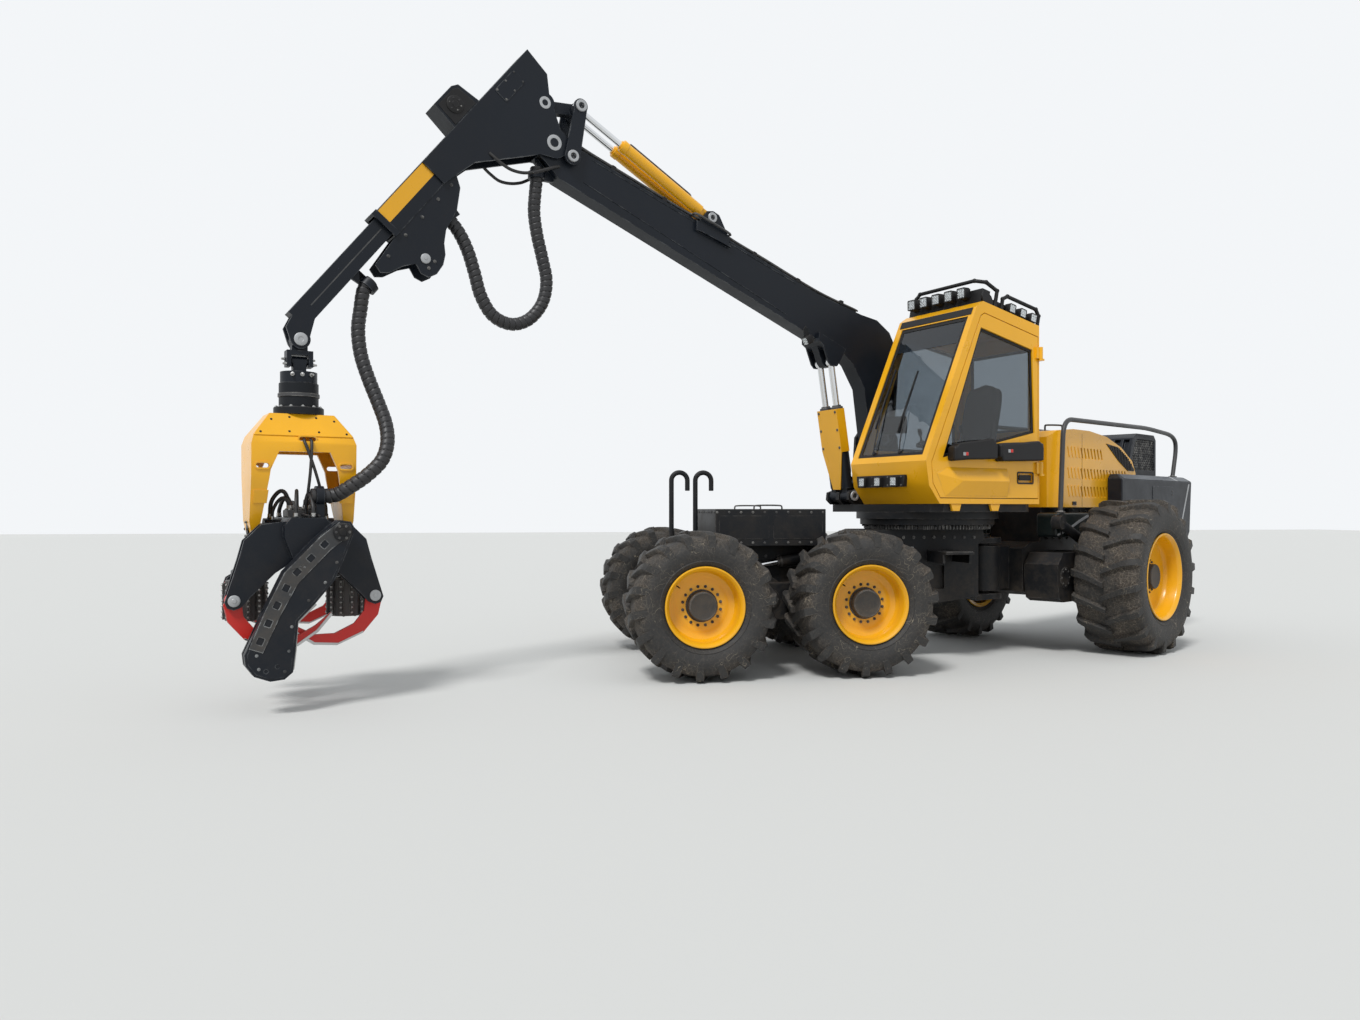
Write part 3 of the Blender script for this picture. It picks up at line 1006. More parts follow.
def inset(outline, gap):
    """An outline with each side moved inwards by a gap, for corners given counterclockwise."""
    p = np.array(outline, float)
    back = (p - np.roll(p, 1, 0)) / np.linalg.norm(p - np.roll(p, 1, 0), axis=1)[:, None]
    ahead = np.roll(back, -1, 0)
    na, nb = np.column_stack([back[:, 1], -back[:, 0]]), np.column_stack([ahead[:, 1], -ahead[:, 0]])
    return [tuple(q) for q in p - gap * (na + nb) / (1 + (na * nb).sum(1))[:, None]]


DOOR_PANE = [(-0.685, 2.320), (0.609, 2.032), (0.090, 3.328), (-0.650, 3.165)]
cut_plate("door_seal", inset(DOOR_PANE, -0.0005), 0.8142, 0.8240, CAB, PLASTIC, "cab_door", 0.003,
          [inset(DOOR_PANE, 0.026)])
RIGHT_PANE = [(-0.639, 2.151), (0.559, 2.151), (0.080, 3.358), (-0.639, 3.238)]
cut_plate("right_seal", RIGHT_PANE, -0.2340, -0.2242, CAB, PLASTIC, "turntable", 0.003, [inset(RIGHT_PANE, 0.030)])
REAR_PANE = oblong((-0.099, 2.351), (0.699, 3.199))
cut_plate("rear_seal", REAR_PANE, -0.7900, -0.7802, CAB @ YZ, PLASTIC, "turntable", 0.003,
          [inset(REAR_PANE, 0.030)])
FRONT_PANE = oblong((-0.163, 0.070), (0.763, 1.571))
cut_plate("screen_seal", FRONT_PANE, -0.0158, -0.0070, SCREEN @ YZ, PLASTIC, "turntable", 0.003,
          [inset(FRONT_PANE, 0.034)])
TINT = build_glass("tint_band", (0.05, 0.065, 0.085, 1.0), 0.8)
cut_plate("screen_tint", oblong((-0.128, 1.290), (0.728, 1.536)), -0.0157, -0.0140, SCREEN @ YZ, TINT, "turntable",
          0)
for k, (foot, tip_at) in enumerate((((0.060, 0.110), (-0.050, 0.760)), ((0.430, 0.110), (0.300, 0.700)))):
    dy, dz = tip_at[0] - foot[0], tip_at[1] - foot[1]
    revolved("wiper_hub_%d" % k, [(0.022, -0.010), (0.022, 0.010), (0.017, 0.018), (0.004, 0.020)],
             facing((-0.010, *foot), (1, 0, 0), SCREEN), PLASTIC, "turntable", 24)
    bent_pipe("wiper_arm_%d" % k, [(0.006, *foot), (0.014, foot[0] + dy * 0.3, foot[1] + dz * 0.3),
                                   (0.010, foot[0] + dy * 0.8, foot[1] + dz * 0.8),
                                   (0.004, *tip_at)], 0.006, SCREEN, PLASTIC, "turntable", 10)
    blade = [(tip_at[0] - 0.006, tip_at[1] - 0.360), (tip_at[0] + 0.006, tip_at[1] - 0.360),
             (tip_at[0] + 0.010, tip_at[1]),
             (tip_at[0] + 0.004, tip_at[1] + 0.330), (tip_at[0] - 0.008, tip_at[1] + 0.330),
             (tip_at[0] - 0.010, tip_at[1])]
    cut_plate("wiper_blade_%d" % k, blade, -0.0138, 0.004, SCREEN @ YZ, PLASTIC, "turntable", 0.002)

# Door furniture: seam lines, the paddle in its recess, and pods with raised lids and one red and one white marker
# each.
paddle = [(-0.640, 1.830), (-0.470, 1.830), (-0.460, 1.850), (-0.470, 1.885), (-0.640, 1.885)]
cut_plate("door_paddle", paddle, 0.824, 0.834, CAB, PLASTIC, "cab_door", 0.003)
recess = rounded((-0.668, 1.792), (-0.422, 1.918), 0.020)
cut_plate("recess_frame", recess, 0.8402, 0.8440, CAB, PLASTIC, "cab_door", 0.0015,
          [rounded((-0.652, 1.808), (-0.438, 1.902), 0.012)[::-1]])
SKIN, FOLD = 0.8402, 0.8900
folded = [(0.700, SKIN, 1.883), (0.560, SKIN, 1.945), (-0.280, SKIN, 1.945), (-0.280, SKIN, 1.660),
          (0.580, SKIN, 1.660),
          (0.385, FOLD, 1.815), (-0.265, FOLD, 1.815)]
panel = outward(surface_piece("door_fold", placed(folded, CAB),
                              [(1, 2, 6, 5), (5, 6, 3, 4), (0, 1, 5), (0, 5, 4), (2, 3, 6), (0, 4, 3, 2, 1)],
                              YELLOW, "cab_door", 10))
broken_edges(panel, 0.004, 8)


def rooted(value, power):
    """A value's size raised to a power, with its sign kept; it squares off a sine."""
    return np.sign(value) * np.abs(value) ** power


def pod(name, front, back, body):
    """A moulded box between two ends (x, z, half height): a rounded square section that shrinks to nothing at
    both."""
    t, u = np.meshgrid(np.linspace(0, 1, 33), np.linspace(0, 2 * np.pi, 48, endpoint=False), indexing="ij")
    ends = np.clip(1 - np.abs(2 * t - 1) ** 9, 0.0004, 1) ** 0.30
    x, z, half = (front[k] + (back[k] - front[k]) * (0.5 - 0.5 * np.cos(np.pi * t)) for k in range(3))
    depth = 0.0585 * (0.93 + 0.07 * ends)
    y = 0.9010 + depth * rooted(np.sin(u), 0.42) * ends
    z = z + half * rooted(np.cos(u), 0.42) * ends + 0.010 * np.sin(np.pi * t)
    return outward(surface_piece(name, placed(np.stack([x, y, z], -1).reshape(-1, 3), CAB),
                                 grid_faces(33, 48, True),
                                 PLASTIC, body, 55, end_caps(33, 48)))


PODS = (((-0.062, 2.112, 0.072), (-0.690, 2.150, 0.060)), ((0.560, 2.066, 0.074), (-0.018, 2.100, 0.074)))
for k, (front, back) in enumerate(PODS):
    shell = pod("door_pod_%d" % k, front, back, "cab_door")
    if k == 0:
        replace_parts(shell, "door_pods")
    for tag, colour, x in (("red", RED, front[0] - 0.150), ("white", LIGHT_STRIP, front[0] - 0.115)):
        low = front[1] + (back[1] - front[1]) * (front[0] - x) / (front[0] - back[0]) - 0.006
        cut_plate("pod_marker_%d_%s" % (k, tag), rounded((x - 0.016, low - 0.016), (x + 0.016, low + 0.016),
                                                         0.004), 0.9560, 0.9625, CAB,
                  colour, "cab_door", 0.001)
for k, x in enumerate((-0.120, 0.420)):
    cut_plate("cab_foot_%d" % k, [(x - 0.070, 1.5890), (x + 0.070, 1.5890), (x + 0.045, 1.520),
                                  (x - 0.045, 1.520)], 0.802, 0.832, CAB,
              YELLOW, "turntable", 0.004)

# Seat and controls: a padded seat with arm rests, two joysticks and a screen, behind the smoked glass.
FABRIC = finish("seat_fabric", (0.030, 0.031, 0.034), 0.85, dust=0.12, wear=0.0, bump=0.6, scale=3.0)


def cushion(name, centre, half, lean, body):
    """A stuffed block: a sphere's grid with its coordinates raised to a power, so nearly a box with full, round
    edges."""
    v, u = np.meshgrid(np.linspace(-np.pi / 2, np.pi / 2, 28), np.linspace(0, 2 * np.pi, 56, endpoint=False),
                       indexing="ij")
    x = half[0] * rooted(np.cos(v), 0.35) * rooted(np.cos(u), 0.35)
    y = half[1] * rooted(np.cos(v), 0.35) * rooted(np.sin(u), 0.35)
    crown = 1 + 0.10 * np.cos(np.pi * x / half[0] / 1.1) * np.cos(np.pi * y / half[1] / 1.1)
    points = np.stack([x, y, half[2] * rooted(np.sin(v), 0.45) * crown], -1).reshape(-1, 3)
    spot = SEAT @ shift(*centre) @ turned(lean, "Y")
    made = outward(surface_piece(name, placed(points, spot), grid_faces(28, 56, True), FABRIC, body, 60))
    return made


SEAT = CAB @ shift(-0.150, 0.300, 1.7003)
BACK_LEAN = math.radians(12)
BACK_HALF = 0.378
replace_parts(cushion("seat_base", (0.010, 0, 0.362), (0.262, 0.232, 0.060), 0, "turntable"), "seat")
cushion("seat_back", (-0.250 - 0.38 * math.sin(BACK_LEAN), 0, 0.380 + 0.38 * math.cos(BACK_LEAN)),
        (0.060, 0.222, BACK_HALF),
        -BACK_LEAN, "turntable")
revolved("seat_post", [(0.02, 0.0)] + [(0.148 - 0.018 * (k % 2), 0.002 + 0.024 * k)
                                       for k in range(12)] + [(0.02, 0.290)], SEAT, PLASTIC, "turntable", 40)
for tag, s in LEFT_RIGHT[::-1]:
    y = s * 0.285
    cut_plate("arm_post_" + tag, rounded((-0.148, 0.322), (-0.094, 0.492), 0.012), y - 0.035, y + 0.035, SEAT,
              PLASTIC, "turntable", 0.006)
    cut_plate("arm_rest_" + tag, rounded((-0.148, 0.484), (0.268, 0.536), 0.024), y - 0.042, y + 0.042, SEAT,
              FABRIC, "turntable", 0.012)
    revolved("joystick_" + tag, [(0.036, 0.0), (0.034, 0.010), (0.012, 0.026), (0.011, 0.070), (0.020, 0.082),
                                 (0.023, 0.120), (0.018, 0.146), (0.004, 0.152)],
             SEAT @ shift(0.225, y, 0.536) @ turned(math.radians(14), "Y"), PLASTIC, "turntable", 28)
cut_plate("screen_case", rounded((-0.130, -0.090), (0.130, 0.090), 0.016), -0.020, 0.020,
          CAB @ shift(0.330, -0.120, 2.420) @ turned(0.35, "Z") @ YZ,
          PLASTIC, "turntable", 0.005)
bent_pipe("screen_arm", [(0.335, -0.125, 2.335), (0.350, -0.150, 2.250), (0.380, -0.205, 2.200)], 0.012, CAB,
          PLASTIC, "turntable", 10)


# Crane: blue-black welded boom and stick, chromed rods in yellow and black barrels, pins with light grey rings,
# steel
# pipes clamped along the boom, and a yellow guard before the lift cylinders.
for node in ("lift_barrels", "main_boom", "rocker", "short_link", "stick", "extension"):
    softened(node, BLUE_BLACK, 0.006 if node in ("main_boom", "stick") else 0.004)
softened("lift_guard", YELLOW, 0.002)
softened("stick_barrels", YELLOW, 0.003)
dressed("lift_rods", CHROME)
dressed("stick_rods", CHROME)
PIN_GREY = finish("pin_grey", (0.42, 0.43, 0.44), 0.42, dust=0.20, wear=0.4, metal=0.25)
NEAR_FAR = (("near", 1), ("far", -1))
BOOM_FOOT, LIFT_LOW, LIFT_HIGH = (0.150, 2.300), (0.620, 1.680), (0.860, 3.110)
ELBOW = (4.060, 4.820)
ROCKER_FOOT = (3.890, 4.720)
STICK_PIN = (4.150, 5.160)
ROCKER_TOP = (3.810, 5.190)
BARREL_FOOT = (2.381, 4.394)
for name, pin, half, r, tall, body in (("foot", BOOM_FOOT, 0.140, 0.050, 1.0, "turntable"),
                                       ("lift_low", LIFT_LOW, 0.190, 0.034, 1.0, "turntable"),
                                       ("elbow", ELBOW, 0.133, 0.050, 0.2, "stick"),
                                       ("stick_pin", STICK_PIN, 0.133, 0.034, 0.2, "stick"),
                                       ("rocker_foot", ROCKER_FOOT, 0.165, 0.034, 1.0, "rocker"),
                                       ("rocker_top", ROCKER_TOP, 0.165, 0.034, 1.0, "rocker"),
                                       ("barrel_foot", BARREL_FOOT, 0.136, 0.030, 1.0, "main_boom")):
    for side, s in NEAR_FAR:
        at = facing((pin[0], s * (half - 0.003), pin[1]), (0, s, 0), CRANE)
        revolved("pin_ring_%s_%s" % (name, side), [(r * 0.80, 0.0), (r + 0.020, 0.0), (r + 0.020, 0.011 * tall),
                                                   (r + 0.016, 0.016 * tall),
                                                   (r * 0.88, 0.016 * tall), (r * 0.80, 0.012 * tall),
                                                   (r * 0.80, 0.0)], at, PIN_GREY, body, 40, False)
        revolved("pin_end_%s_%s" % (name, side), [(r * 0.79, 0.001), (r * 0.79, 0.003 + 0.005 * tall),
                                                  (r * 0.72, 0.003 + 0.007 * tall),
                                                  (r * 0.22, 0.003 + 0.007 * tall),
                                                  (r * 0.18, 0.003 + 0.004 * tall), (0.002, 0.003 + 0.004 * tall)],
                 at, BLUE_BLACK, body, 40)
        if tall == 1.0:
            bolts("pin_bolts_%s_%s" % (name, side), bolt_circle(at, r * 0.45, 3, 0.0100, 0.5), 0.0045, CAST, body)


def cylinder_fittings(name, low, high, ends, r_rod, r_barrel, gland, body, metal):
    """Gland nut, wiper ring and feed pipe on each barrel of a pair; sizes are radii, gland is the nut's place
    along it."""
    run = Vector((high[0] - low[0], 0, high[1] - low[1]))
    for side, s in NEAR_FAR:
        tag = name + "_" + side
        line = facing((low[0], s * ends, low[1]), run, CRANE)
        revolved(tag + "_gland", [(r_rod + 0.0004, gland + 0.030), (r_rod + 0.010, gland + 0.030),
                                  (r_rod + 0.014, gland + 0.024),
                                  (r_rod + 0.014, gland + 0.014), (r_barrel + 0.003, gland + 0.012),
                                  (r_barrel + 0.005, gland + 0.006),
                                  (r_barrel + 0.005, gland - 0.044), (r_barrel + 0.0005, gland - 0.050)], line,
                                  metal, body, 48)
        pipe = [(0, r_barrel - 0.004, gland - 0.060), (0, r_barrel + 0.012, gland - 0.062),
                (0, r_barrel + 0.016, gland - 0.10),
                (0, r_barrel + 0.016, gland * 0.6), (0, r_barrel + 0.016, gland * 0.32),
                (0, r_barrel + 0.012, gland * 0.26), (0, r_barrel - 0.006, gland * 0.25)]
        below = (line @ Vector((0, 1, 0)) - line @ Vector((0, 0, 0))).z < 0
        bent_pipe(tag + "_pipe", pipe, 0.0085, line @ turned(math.pi if below else 0, "Z"), CAST, body, 10)


LIFT_RUN = math.dist(LIFT_LOW, LIFT_HIGH)
STICK_RUN = math.dist(BARREL_FOOT, ROCKER_TOP)
cylinder_fittings("lift", LIFT_LOW, LIFT_HIGH, 0.090, 0.034, 0.060, LIFT_RUN * 0.655, "lift_barrels", CAST)
cylinder_fittings("reach", BARREL_FOOT, ROCKER_TOP, 0.080, 0.028, 0.055, STICK_RUN * 0.675, "stick_barrels", YELLOW)
LIFT_ANGLE = math.atan2(LIFT_HIGH[1] - LIFT_LOW[1], LIFT_HIGH[0] - LIFT_LOW[0])
guard_at = CRANE @ shift(LIFT_LOW[0], 0, LIFT_LOW[1]) @ turned(math.pi / 2 - LIFT_ANGLE, "Y")
bolts("guard_bolts", [facing((0.0705, y, z), (1, 0, 0), guard_at) for y in (-0.135, 0.135)
                      for z in (0.53, 0.72, 0.91)],
      0.010, CAST, "lift_barrels", 0.8)

# Pipes in pairs along the top of the boom, in clamps bolted to it.
TOP = [(0.480, 3.664), (1.040, 3.818), (1.700, 4.062), (2.140, 4.224)]
TOP_END = [(2.640, 4.408), (3.200, 4.615), (3.700, 4.800), (3.860, 4.875)]
PIPE_RISE = 0.013
BOOM_RISE = math.atan2(1030, 2790)
for k, y in enumerate((-0.082, -0.048, 0.048, 0.082)):
    bent_pipe("boom_pipe_%d" % k, [(x, y, z + PIPE_RISE) for x, z in TOP]
              + [(2.200, y * 1.9, 4.262), (2.560, y * 1.9, 4.392)]
              + [(x, y, z + PIPE_RISE) for x, z in TOP_END], 0.0125, CRANE, RAIL_GREY, "main_boom", 12, 0.02)
for k, (x, z) in enumerate(((0.720, 3.7315), (1.300, 3.8995), (1.850, 4.1035), (2.900, 4.4920), (3.450, 4.6955))):
    lean = math.atan2(160, 590) if x < 1.0 else BOOM_RISE
    clamp = CRANE @ shift(x, 0, z) @ turned(-lean, "Y")
    cut_plate("pipe_clamp_%d" % k, rounded((-0.024, -0.010), (0.024, 0.034), 0.008), -0.100, 0.100, clamp, PLASTIC,
              "main_boom", 0.003)
    bolts("clamp_bolts_%d" % k, [clamp @ shift(0, y, 0.034) for y in (-0.065, 0.0, 0.065)], 0.0065, CAST,
          "main_boom")
along = CRANE @ shift(1.040, 0, 3.800) @ turned(-BOOM_RISE, "Y")
for side, s in NEAR_FAR:
    for k, z in enumerate((-0.030, -0.385)):
        bent_pipe("boom_weld_%s_%d" % (side, k), [(x, s * 0.1002, z + (0.12 * (x - 0.3) / 2.5 if k else 0))
                                                  for x in np.linspace(0.30, 2.80, 14)],
                  0.0042, along, BLUE_BLACK, "main_boom", 8, 0.02)
    revolved("foot_cover_" + side, [(0.168, 0.0), (0.168, 0.004), (0.160, 0.006), (0.110, 0.006), (0.104, 0.002),
                                    (0.0545, 0.002)],
             facing((BOOM_FOOT[0], s * 0.1001, BOOM_FOOT[1]), (0, s, 0), CRANE), FRAME_BLACK, "main_boom", 64)
lamp_at = CRANE @ shift(1.180, 0.150, 3.300)
cut_plate("boom_lamp_bracket", [(-0.020, 0.0), (0.040, 0.0), (0.060, 0.110), (0.030, 0.150), (-0.010, 0.120)],
          -0.050, -0.043, lamp_at, FRAME_BLACK, "main_boom", 0.002)
work_lamp("boom_lamp", lamp_at @ shift(0.060, 0, -0.020) @ turned(math.radians(28), "Y") @ YZ, 0.044, "main_boom")

# Stick: hatch plates, a blank yellow strip, the reel box with its roller, clamps and wear strips on the slide.
# The collar at its mouth is three plates round the sliding extension.
PLATE_SPOTS = ((1.000, 0.400), (1.180, 0.400), (1.400, 0.400), (1.620, 0.400), (1.860, 0.390), (1.610, 0.090),
               (1.690, 0.090))
for side, s in NEAR_FAR:
    cut_plate("strip_" + side, rounded((0.740, 0.556), (1.672, 0.684), 0.004), s * 0.1102, s * 0.1120, STICK,
              YELLOW, "stick", 0.0006)
    cut_plate("hatch_" + side, rounded((-0.200, 0.520), (0.080, 0.660), 0.018), s * 0.1302, s * 0.1350, STICK,
              BLUE_BLACK, "stick", 0.0015)
    bolts("hatch_bolts_" + side, on_side([(x, z) for x in (-0.180, -0.060, 0.060) for z in (0.536, 0.644)], 0.1350,
                                         s, STICK),
          0.0065, CAST, "stick")
    bolts("guard_plate_bolts_" + side, on_side(PLATE_SPOTS, 0.1042, s, STICK), 0.010, CAST, "stick")
    revolved("guard_roller_" + side, [(0.042, 0.0), (0.042, 0.010), (0.036, 0.014), (0.014, 0.014), (0.012, 0.018),
                                      (0.002, 0.019)],
             facing((1.650, s * 0.1042, 0.160), (0, s, 0), STICK), PIN_GREY, "stick", 36)
    cut_plate("box_side_" + side, [(0.300, 0.700), (0.325, 0.880), (0.370, 0.905), (0.570, 0.905), (0.585, 0.700)],
              s * 0.1252, s * 0.1300,
              STICK, PLASTIC, "stick", 0.002)
    revolved("reel_cap_" + side, [(0.075, 0.0), (0.075, 0.006), (0.066, 0.011), (0.030, 0.011), (0.026, 0.016),
                                  (0.002, 0.017)],
             facing((0.455, s * 0.1302, 0.810), (0, s, 0), STICK), PLASTIC, "stick", 48)
    bolts("reel_bolts_" + side, on_side(circle(0.455, 0.810, 0.052, 6), 0.1405, s, STICK), 0.005, CAST, "stick",
          0.8)
    cut_plate("slide_strip_" + side, oblong((1.720, 0.565), (2.600, 0.575)), s * 0.0802, s * 0.0812, STICK,
              RAIL_GREY,
              "extension", 0)
    revolved("tip_ring_" + side, [(0.036, 0.0), (0.052, 0.0), (0.052, 0.008), (0.046, 0.012), (0.022, 0.012),
                                  (0.018, 0.008), (0.002, 0.008)],
             facing((2.864, s * 0.084, 0.456), (0, s, 0), STICK), PIN_GREY, "extension", 36)
for side, inner, outer in (("near", 0.1101, 0.1240), ("far", -0.1240, -0.1101)):
    cut_plate("mouth_collar_" + side, oblong((1.640, 0.446), (1.694, 0.694)), inner, outer, STICK, BLUE_BLACK,
              "stick", 0.003)
cut_plate("mouth_collar_top", oblong((1.640, 0.6901), (1.694, 0.704)), -0.124, 0.124, STICK, BLUE_BLACK, "stick",
          0.003)

# Two small rubber hoses loop under the elbow, one on each side, from the boom's nose to the stick's cheek plates.
# They bend with the stick's fold.
HOSE_RUBBER = finish("hose_rubber", (0.014, 0.014, 0.015), 0.5, dust=0.25, wear=0.0)


def thin_hose(name, route, place, r, bodies, skip):
    """A small hose along a smooth route that bends between two bodies, but for a few rings at each end."""
    path, length = smooth_route(route, 0.012)
    path = placed(path, place)
    hose = outward(surface_piece(name, tube_points(path, r, 14), grid_faces(len(path), 14, True), HOSE_RUBBER,
                                 None, 60,
                                 end_caps(len(path), 14)))
    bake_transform(hose, *bodies, start=tuple(path[skip]), end=tuple(path[-skip - 1]))


for k, (s, drop) in enumerate(((1, 0.0), (-1, 0.010))):
    route = [(4.000, 0.098 * s, 4.625), (4.060, 0.116 * s, 4.600), (4.120, 0.138 * s, 4.573),
             (4.190, 0.150 * s, 4.542),
             (4.270, 0.153 * s, 4.512 - drop), (4.370, 0.154 * s, 4.490 - drop), (4.470, 0.154 * s, 4.496 - drop),
             (4.550, 0.152 * s, 4.528),
             (4.615, 0.144 * s, 4.572), (4.670, 0.127 * s, 4.618)]
    thin_hose("elbow_loop_%d" % k, route, CRANE, 0.014, ("main_boom", "stick"), 3)

# Tip, rotator and tilt frame: bright fittings on the hanger, bolts round the flange, and a yellow frame whose slots
# let two thin hoses down to the head.
for node in ("tip_hanger", "cross_link"):
    softened(node, BLUE_BLACK, 0.005)
softened("rotator", FRAME_BLACK, 0.006)
softened("tilt_frame", YELLOW, 0.010)
for k, (x, z) in enumerate(((0.118, -0.150), (0.118, -0.195), (-0.118, -0.150), (-0.118, -0.195))):
    revolved("hanger_fitting_%d" % k, [(0.013, 0.0), (0.013, 0.010), (0.009, 0.012), (0.009, 0.026),
                                       (0.006, 0.030), (0.001, 0.031)],
             facing((math.copysign(0.1002, x), 0.045 if k % 2 else -0.020, z), (math.copysign(1, x), 0, 0), TIP),
             STEEL, "tip_hanger", 20)
for k, x in enumerate((-0.066, 0.0, 0.066)):
    y = math.sqrt(0.140 ** 2 - x * x)
    revolved("swivel_fitting_%d" % k, [(0.016, -0.004), (0.016, 0.014), (0.010, 0.016), (0.010, 0.034),
                                       (0.006, 0.038), (0.001, 0.039)],
             facing((x, y - 0.001, -0.285), (x, y, 0), TIP), STEEL, "cross_link", 20)
bolts("flange_bolts", bolt_circle(TIP, 0.170, 12, -0.5400), 0.011, STEEL, "rotator")
revolved("rotator_band", [(0.1502, -0.460), (0.158, -0.456), (0.158, -0.430), (0.1502, -0.426)], TIP, CAST,
         "rotator", 64)
for side, s in NEAR_FAR:
    for k, (x, z, w) in enumerate(((-0.310, -1.010, 0.060), (0.310, -1.010, 0.060), (-0.020, -0.800, 0.090))):
        depth = (0.2592 if z < -0.9 else 0.248) * s
        ring = rounded((x - w / 2 - 0.030, z - 0.030), (x + w / 2 + 0.030, z + 0.030), 0.0299, 9)
        hole = rounded((x - w / 2 - 0.0175, z - 0.0175), (x + w / 2 + 0.0175, z + 0.0175), 0.0174, 9)
        cut_plate("slot_rim_%s_%d" % (side, k), ring, depth - 0.012 * s, depth + 0.003 * s, TIP, YELLOW, "rotator",
                  0.0015, [hole[::-1]])
    bolts("trunnion_bolts_" + side,
          [facing((s * 0.3905, 0.062 * math.cos(q), -1.500 + 0.062 * math.sin(q)), (s, 0, 0), TIP)
                                     for q in np.arange(6) * math.pi / 3], 0.008, CAST, "rotator", 0.8)
for side, s in NEAR_FAR:
    face = TIP @ turned(0 if s > 0 else math.pi, "Z")
    slope = face @ shift(0, 0.140, -0.600) @ turned(math.atan2(0.120, 0.230), "X")
    cut_plate("frame_cover_" + side, [(-0.368, -0.203), (0.368, -0.203), (0.366, -0.190), (0.243, -0.003),
                                      (-0.243, -0.003), (-0.366, -0.190)],
              0.0004, 0.009, slope, YELLOW, "rotator", 0.003)
    bolts("cover_screws_" + side, on_side([(m * x, z) for x,
                                           z in ((0.235, -0.060), (0.100, -0.035), (0.110, -0.165), (0.320, -0.175))
                                           for m in (-1, 1)], 0.009, 1, slope), 0.006, PLASTIC, "rotator", 0.6)
    leg = face @ shift(0, 0.250, -1.100) @ turned(-math.atan2(0.130, 0.490), "X")
    for m in BOTH:
        doubler = [(m * x, z) for x, z in ((0.272, -0.205), (0.372, -0.205), (0.372, -0.100), (0.262, -0.100))[::m]]
        cut_plate("leg_doubler_%s_%d" % (side, m > 0), doubler, 0.0004, 0.007, leg, YELLOW, "rotator", 0.002)
for k, (x0, x1, y1) in enumerate(((-0.045, -0.020, 0.180), (0.005, -0.150, 0.200))):
    route = [(x0, 0.235, -0.800), (x0, 0.275, -0.830), (x0 * 0.8 + x1 * 0.2, 0.292, -0.920),
             (x0 * 0.5 + x1 * 0.5, 0.285, -1.060),
             (x0 * 0.2 + x1 * 0.8, 0.245, -1.200), (x1, y1 + 0.01, -1.320), (x1, y1, -1.405)]
    thin_hose("frame_hose_%d" % k, route, TIP, 0.012, ("rotator", "head"), 4)

# Harvester head: blue-black plates, red curved knives with ground edges, studded feed rollers, and the saw's cover
# with
# its row of square holes.
softened("head_frame", BLUE_BLACK, 0.006)
SAW = [(-0.194, 0.072), (-0.282, 0.060), (-0.315, 0.0), (-0.230, -0.230), (-0.153, -0.395), (-0.025, -0.550),
       (0.103, -0.684), (0.123, -0.912),
       (0.140, -1.060), (0.200, -1.110), (0.300, -1.118), (0.410, -1.075), (0.469, -0.994), (0.478, -0.912),
       (0.340, -0.600), (0.202, -0.312), (-0.055, -0.042)]
edge = np.array([(-0.194, 0.058), (-0.055, -0.050), (0.202, -0.316), (0.340, -0.600), (0.450, -0.868)])
inner = np.array([(0.352, -0.905), (0.235, -0.645), (0.105, -0.400), (-0.130, -0.155), (-0.250, -0.060)])
middle = (edge + inner[::-1]) / 2
run = np.concatenate([[0], np.cumsum(np.linalg.norm(np.diff(middle, axis=0), axis=1))])
holes = []
for d in np.linspace(0.16, 0.93, 7) * run[-1]:
    x, z = (np.interp(d, run, middle[:, k]) for k in (0, 1))
    ahead = [np.interp(d + 0.01, run, middle[:, k]) - np.interp(d - 0.01, run, middle[:, k]) for k in (0, 1)]
    c, q = np.array(ahead) / math.hypot(*ahead)
    holes.append([(x + a * c - b * q, z + a * q + b * c) for a,
                  b in rounded((-0.026, -0.023), (0.026, 0.023), 0.005, 3)][::-1])
small = [circle(x, z, 0.014, 16)[::-1] for x, z in ((0.250, -1.010), (0.330, -1.040))]
cut_plate("saw_cover", inset(SAW, 0.016), 0.5402, 0.5440, HEAD, BLUE_BLACK, "head", 0.002, small)
PLATE_GREY = finish("dusty_black_plate", (0.035, 0.038, 0.042), 0.48, dust=0.45, wear=1.0,
                    worn=(0.30, 0.31, 0.31, 1.0), shine=0.35)
cut_plate("saw_flange", [tuple(q) for q in np.vstack([edge[::-1], inner[::-1]])], 0.5441, 0.5490, HEAD, PLATE_GREY,
          "head", 0.002, holes)
revolved("saw_hub", [(0.070, 0.0), (0.070, 0.012), (0.062, 0.018), (0.030, 0.018), (0.026, 0.024), (0.002, 0.025)],
         facing((-0.215, 0.5502, -0.020), (0, 1, 0), HEAD),
         FRAME_BLACK, "head", 48)
bolts("saw_hub_bolts", on_side(circle(-0.215, -0.020, 0.050, 6), 0.5675, 1, HEAD), 0.007, CAST, "head", 0.8)
COVER_SPOTS = ((-0.175, -0.250), (-0.090, -0.400), (0.030, -0.530), (0.150, -0.720), (0.170, -0.900),
               (0.200, -1.050),
               (0.380, -1.020), (0.395, -0.920), (0.060, -0.280), (0.165, -0.480))
bolts("saw_cover_bolts", on_side(COVER_SPOTS, 0.5441, 1, HEAD), 0.008, PLATE_GREY, "head", 0.7)
edge = [(-0.030, -0.560), (0.098, -0.690), (0.112, -0.700), (0.131, -0.912), (0.148, -1.056), (0.120, -1.050),
        (0.104, -0.912), (0.090, -0.700), (-0.044, -0.572)]
cut_plate("saw_edge_strip", edge, 0.4620, 0.4780, HEAD, STEEL, "head", 0.002)
softened("saw_bar", STEEL, 0)
PAINT_EDGE = finish("ground_edge", (0.50, 0.50, 0.50), 0.28, dust=0.2, wear=0.2, metal=1.0)
KNIFE_EDGE = [(-0.080, -0.300), (-0.280, -0.385), (-0.460, -0.370), (-0.610, -0.270), (-0.720, -0.140)]
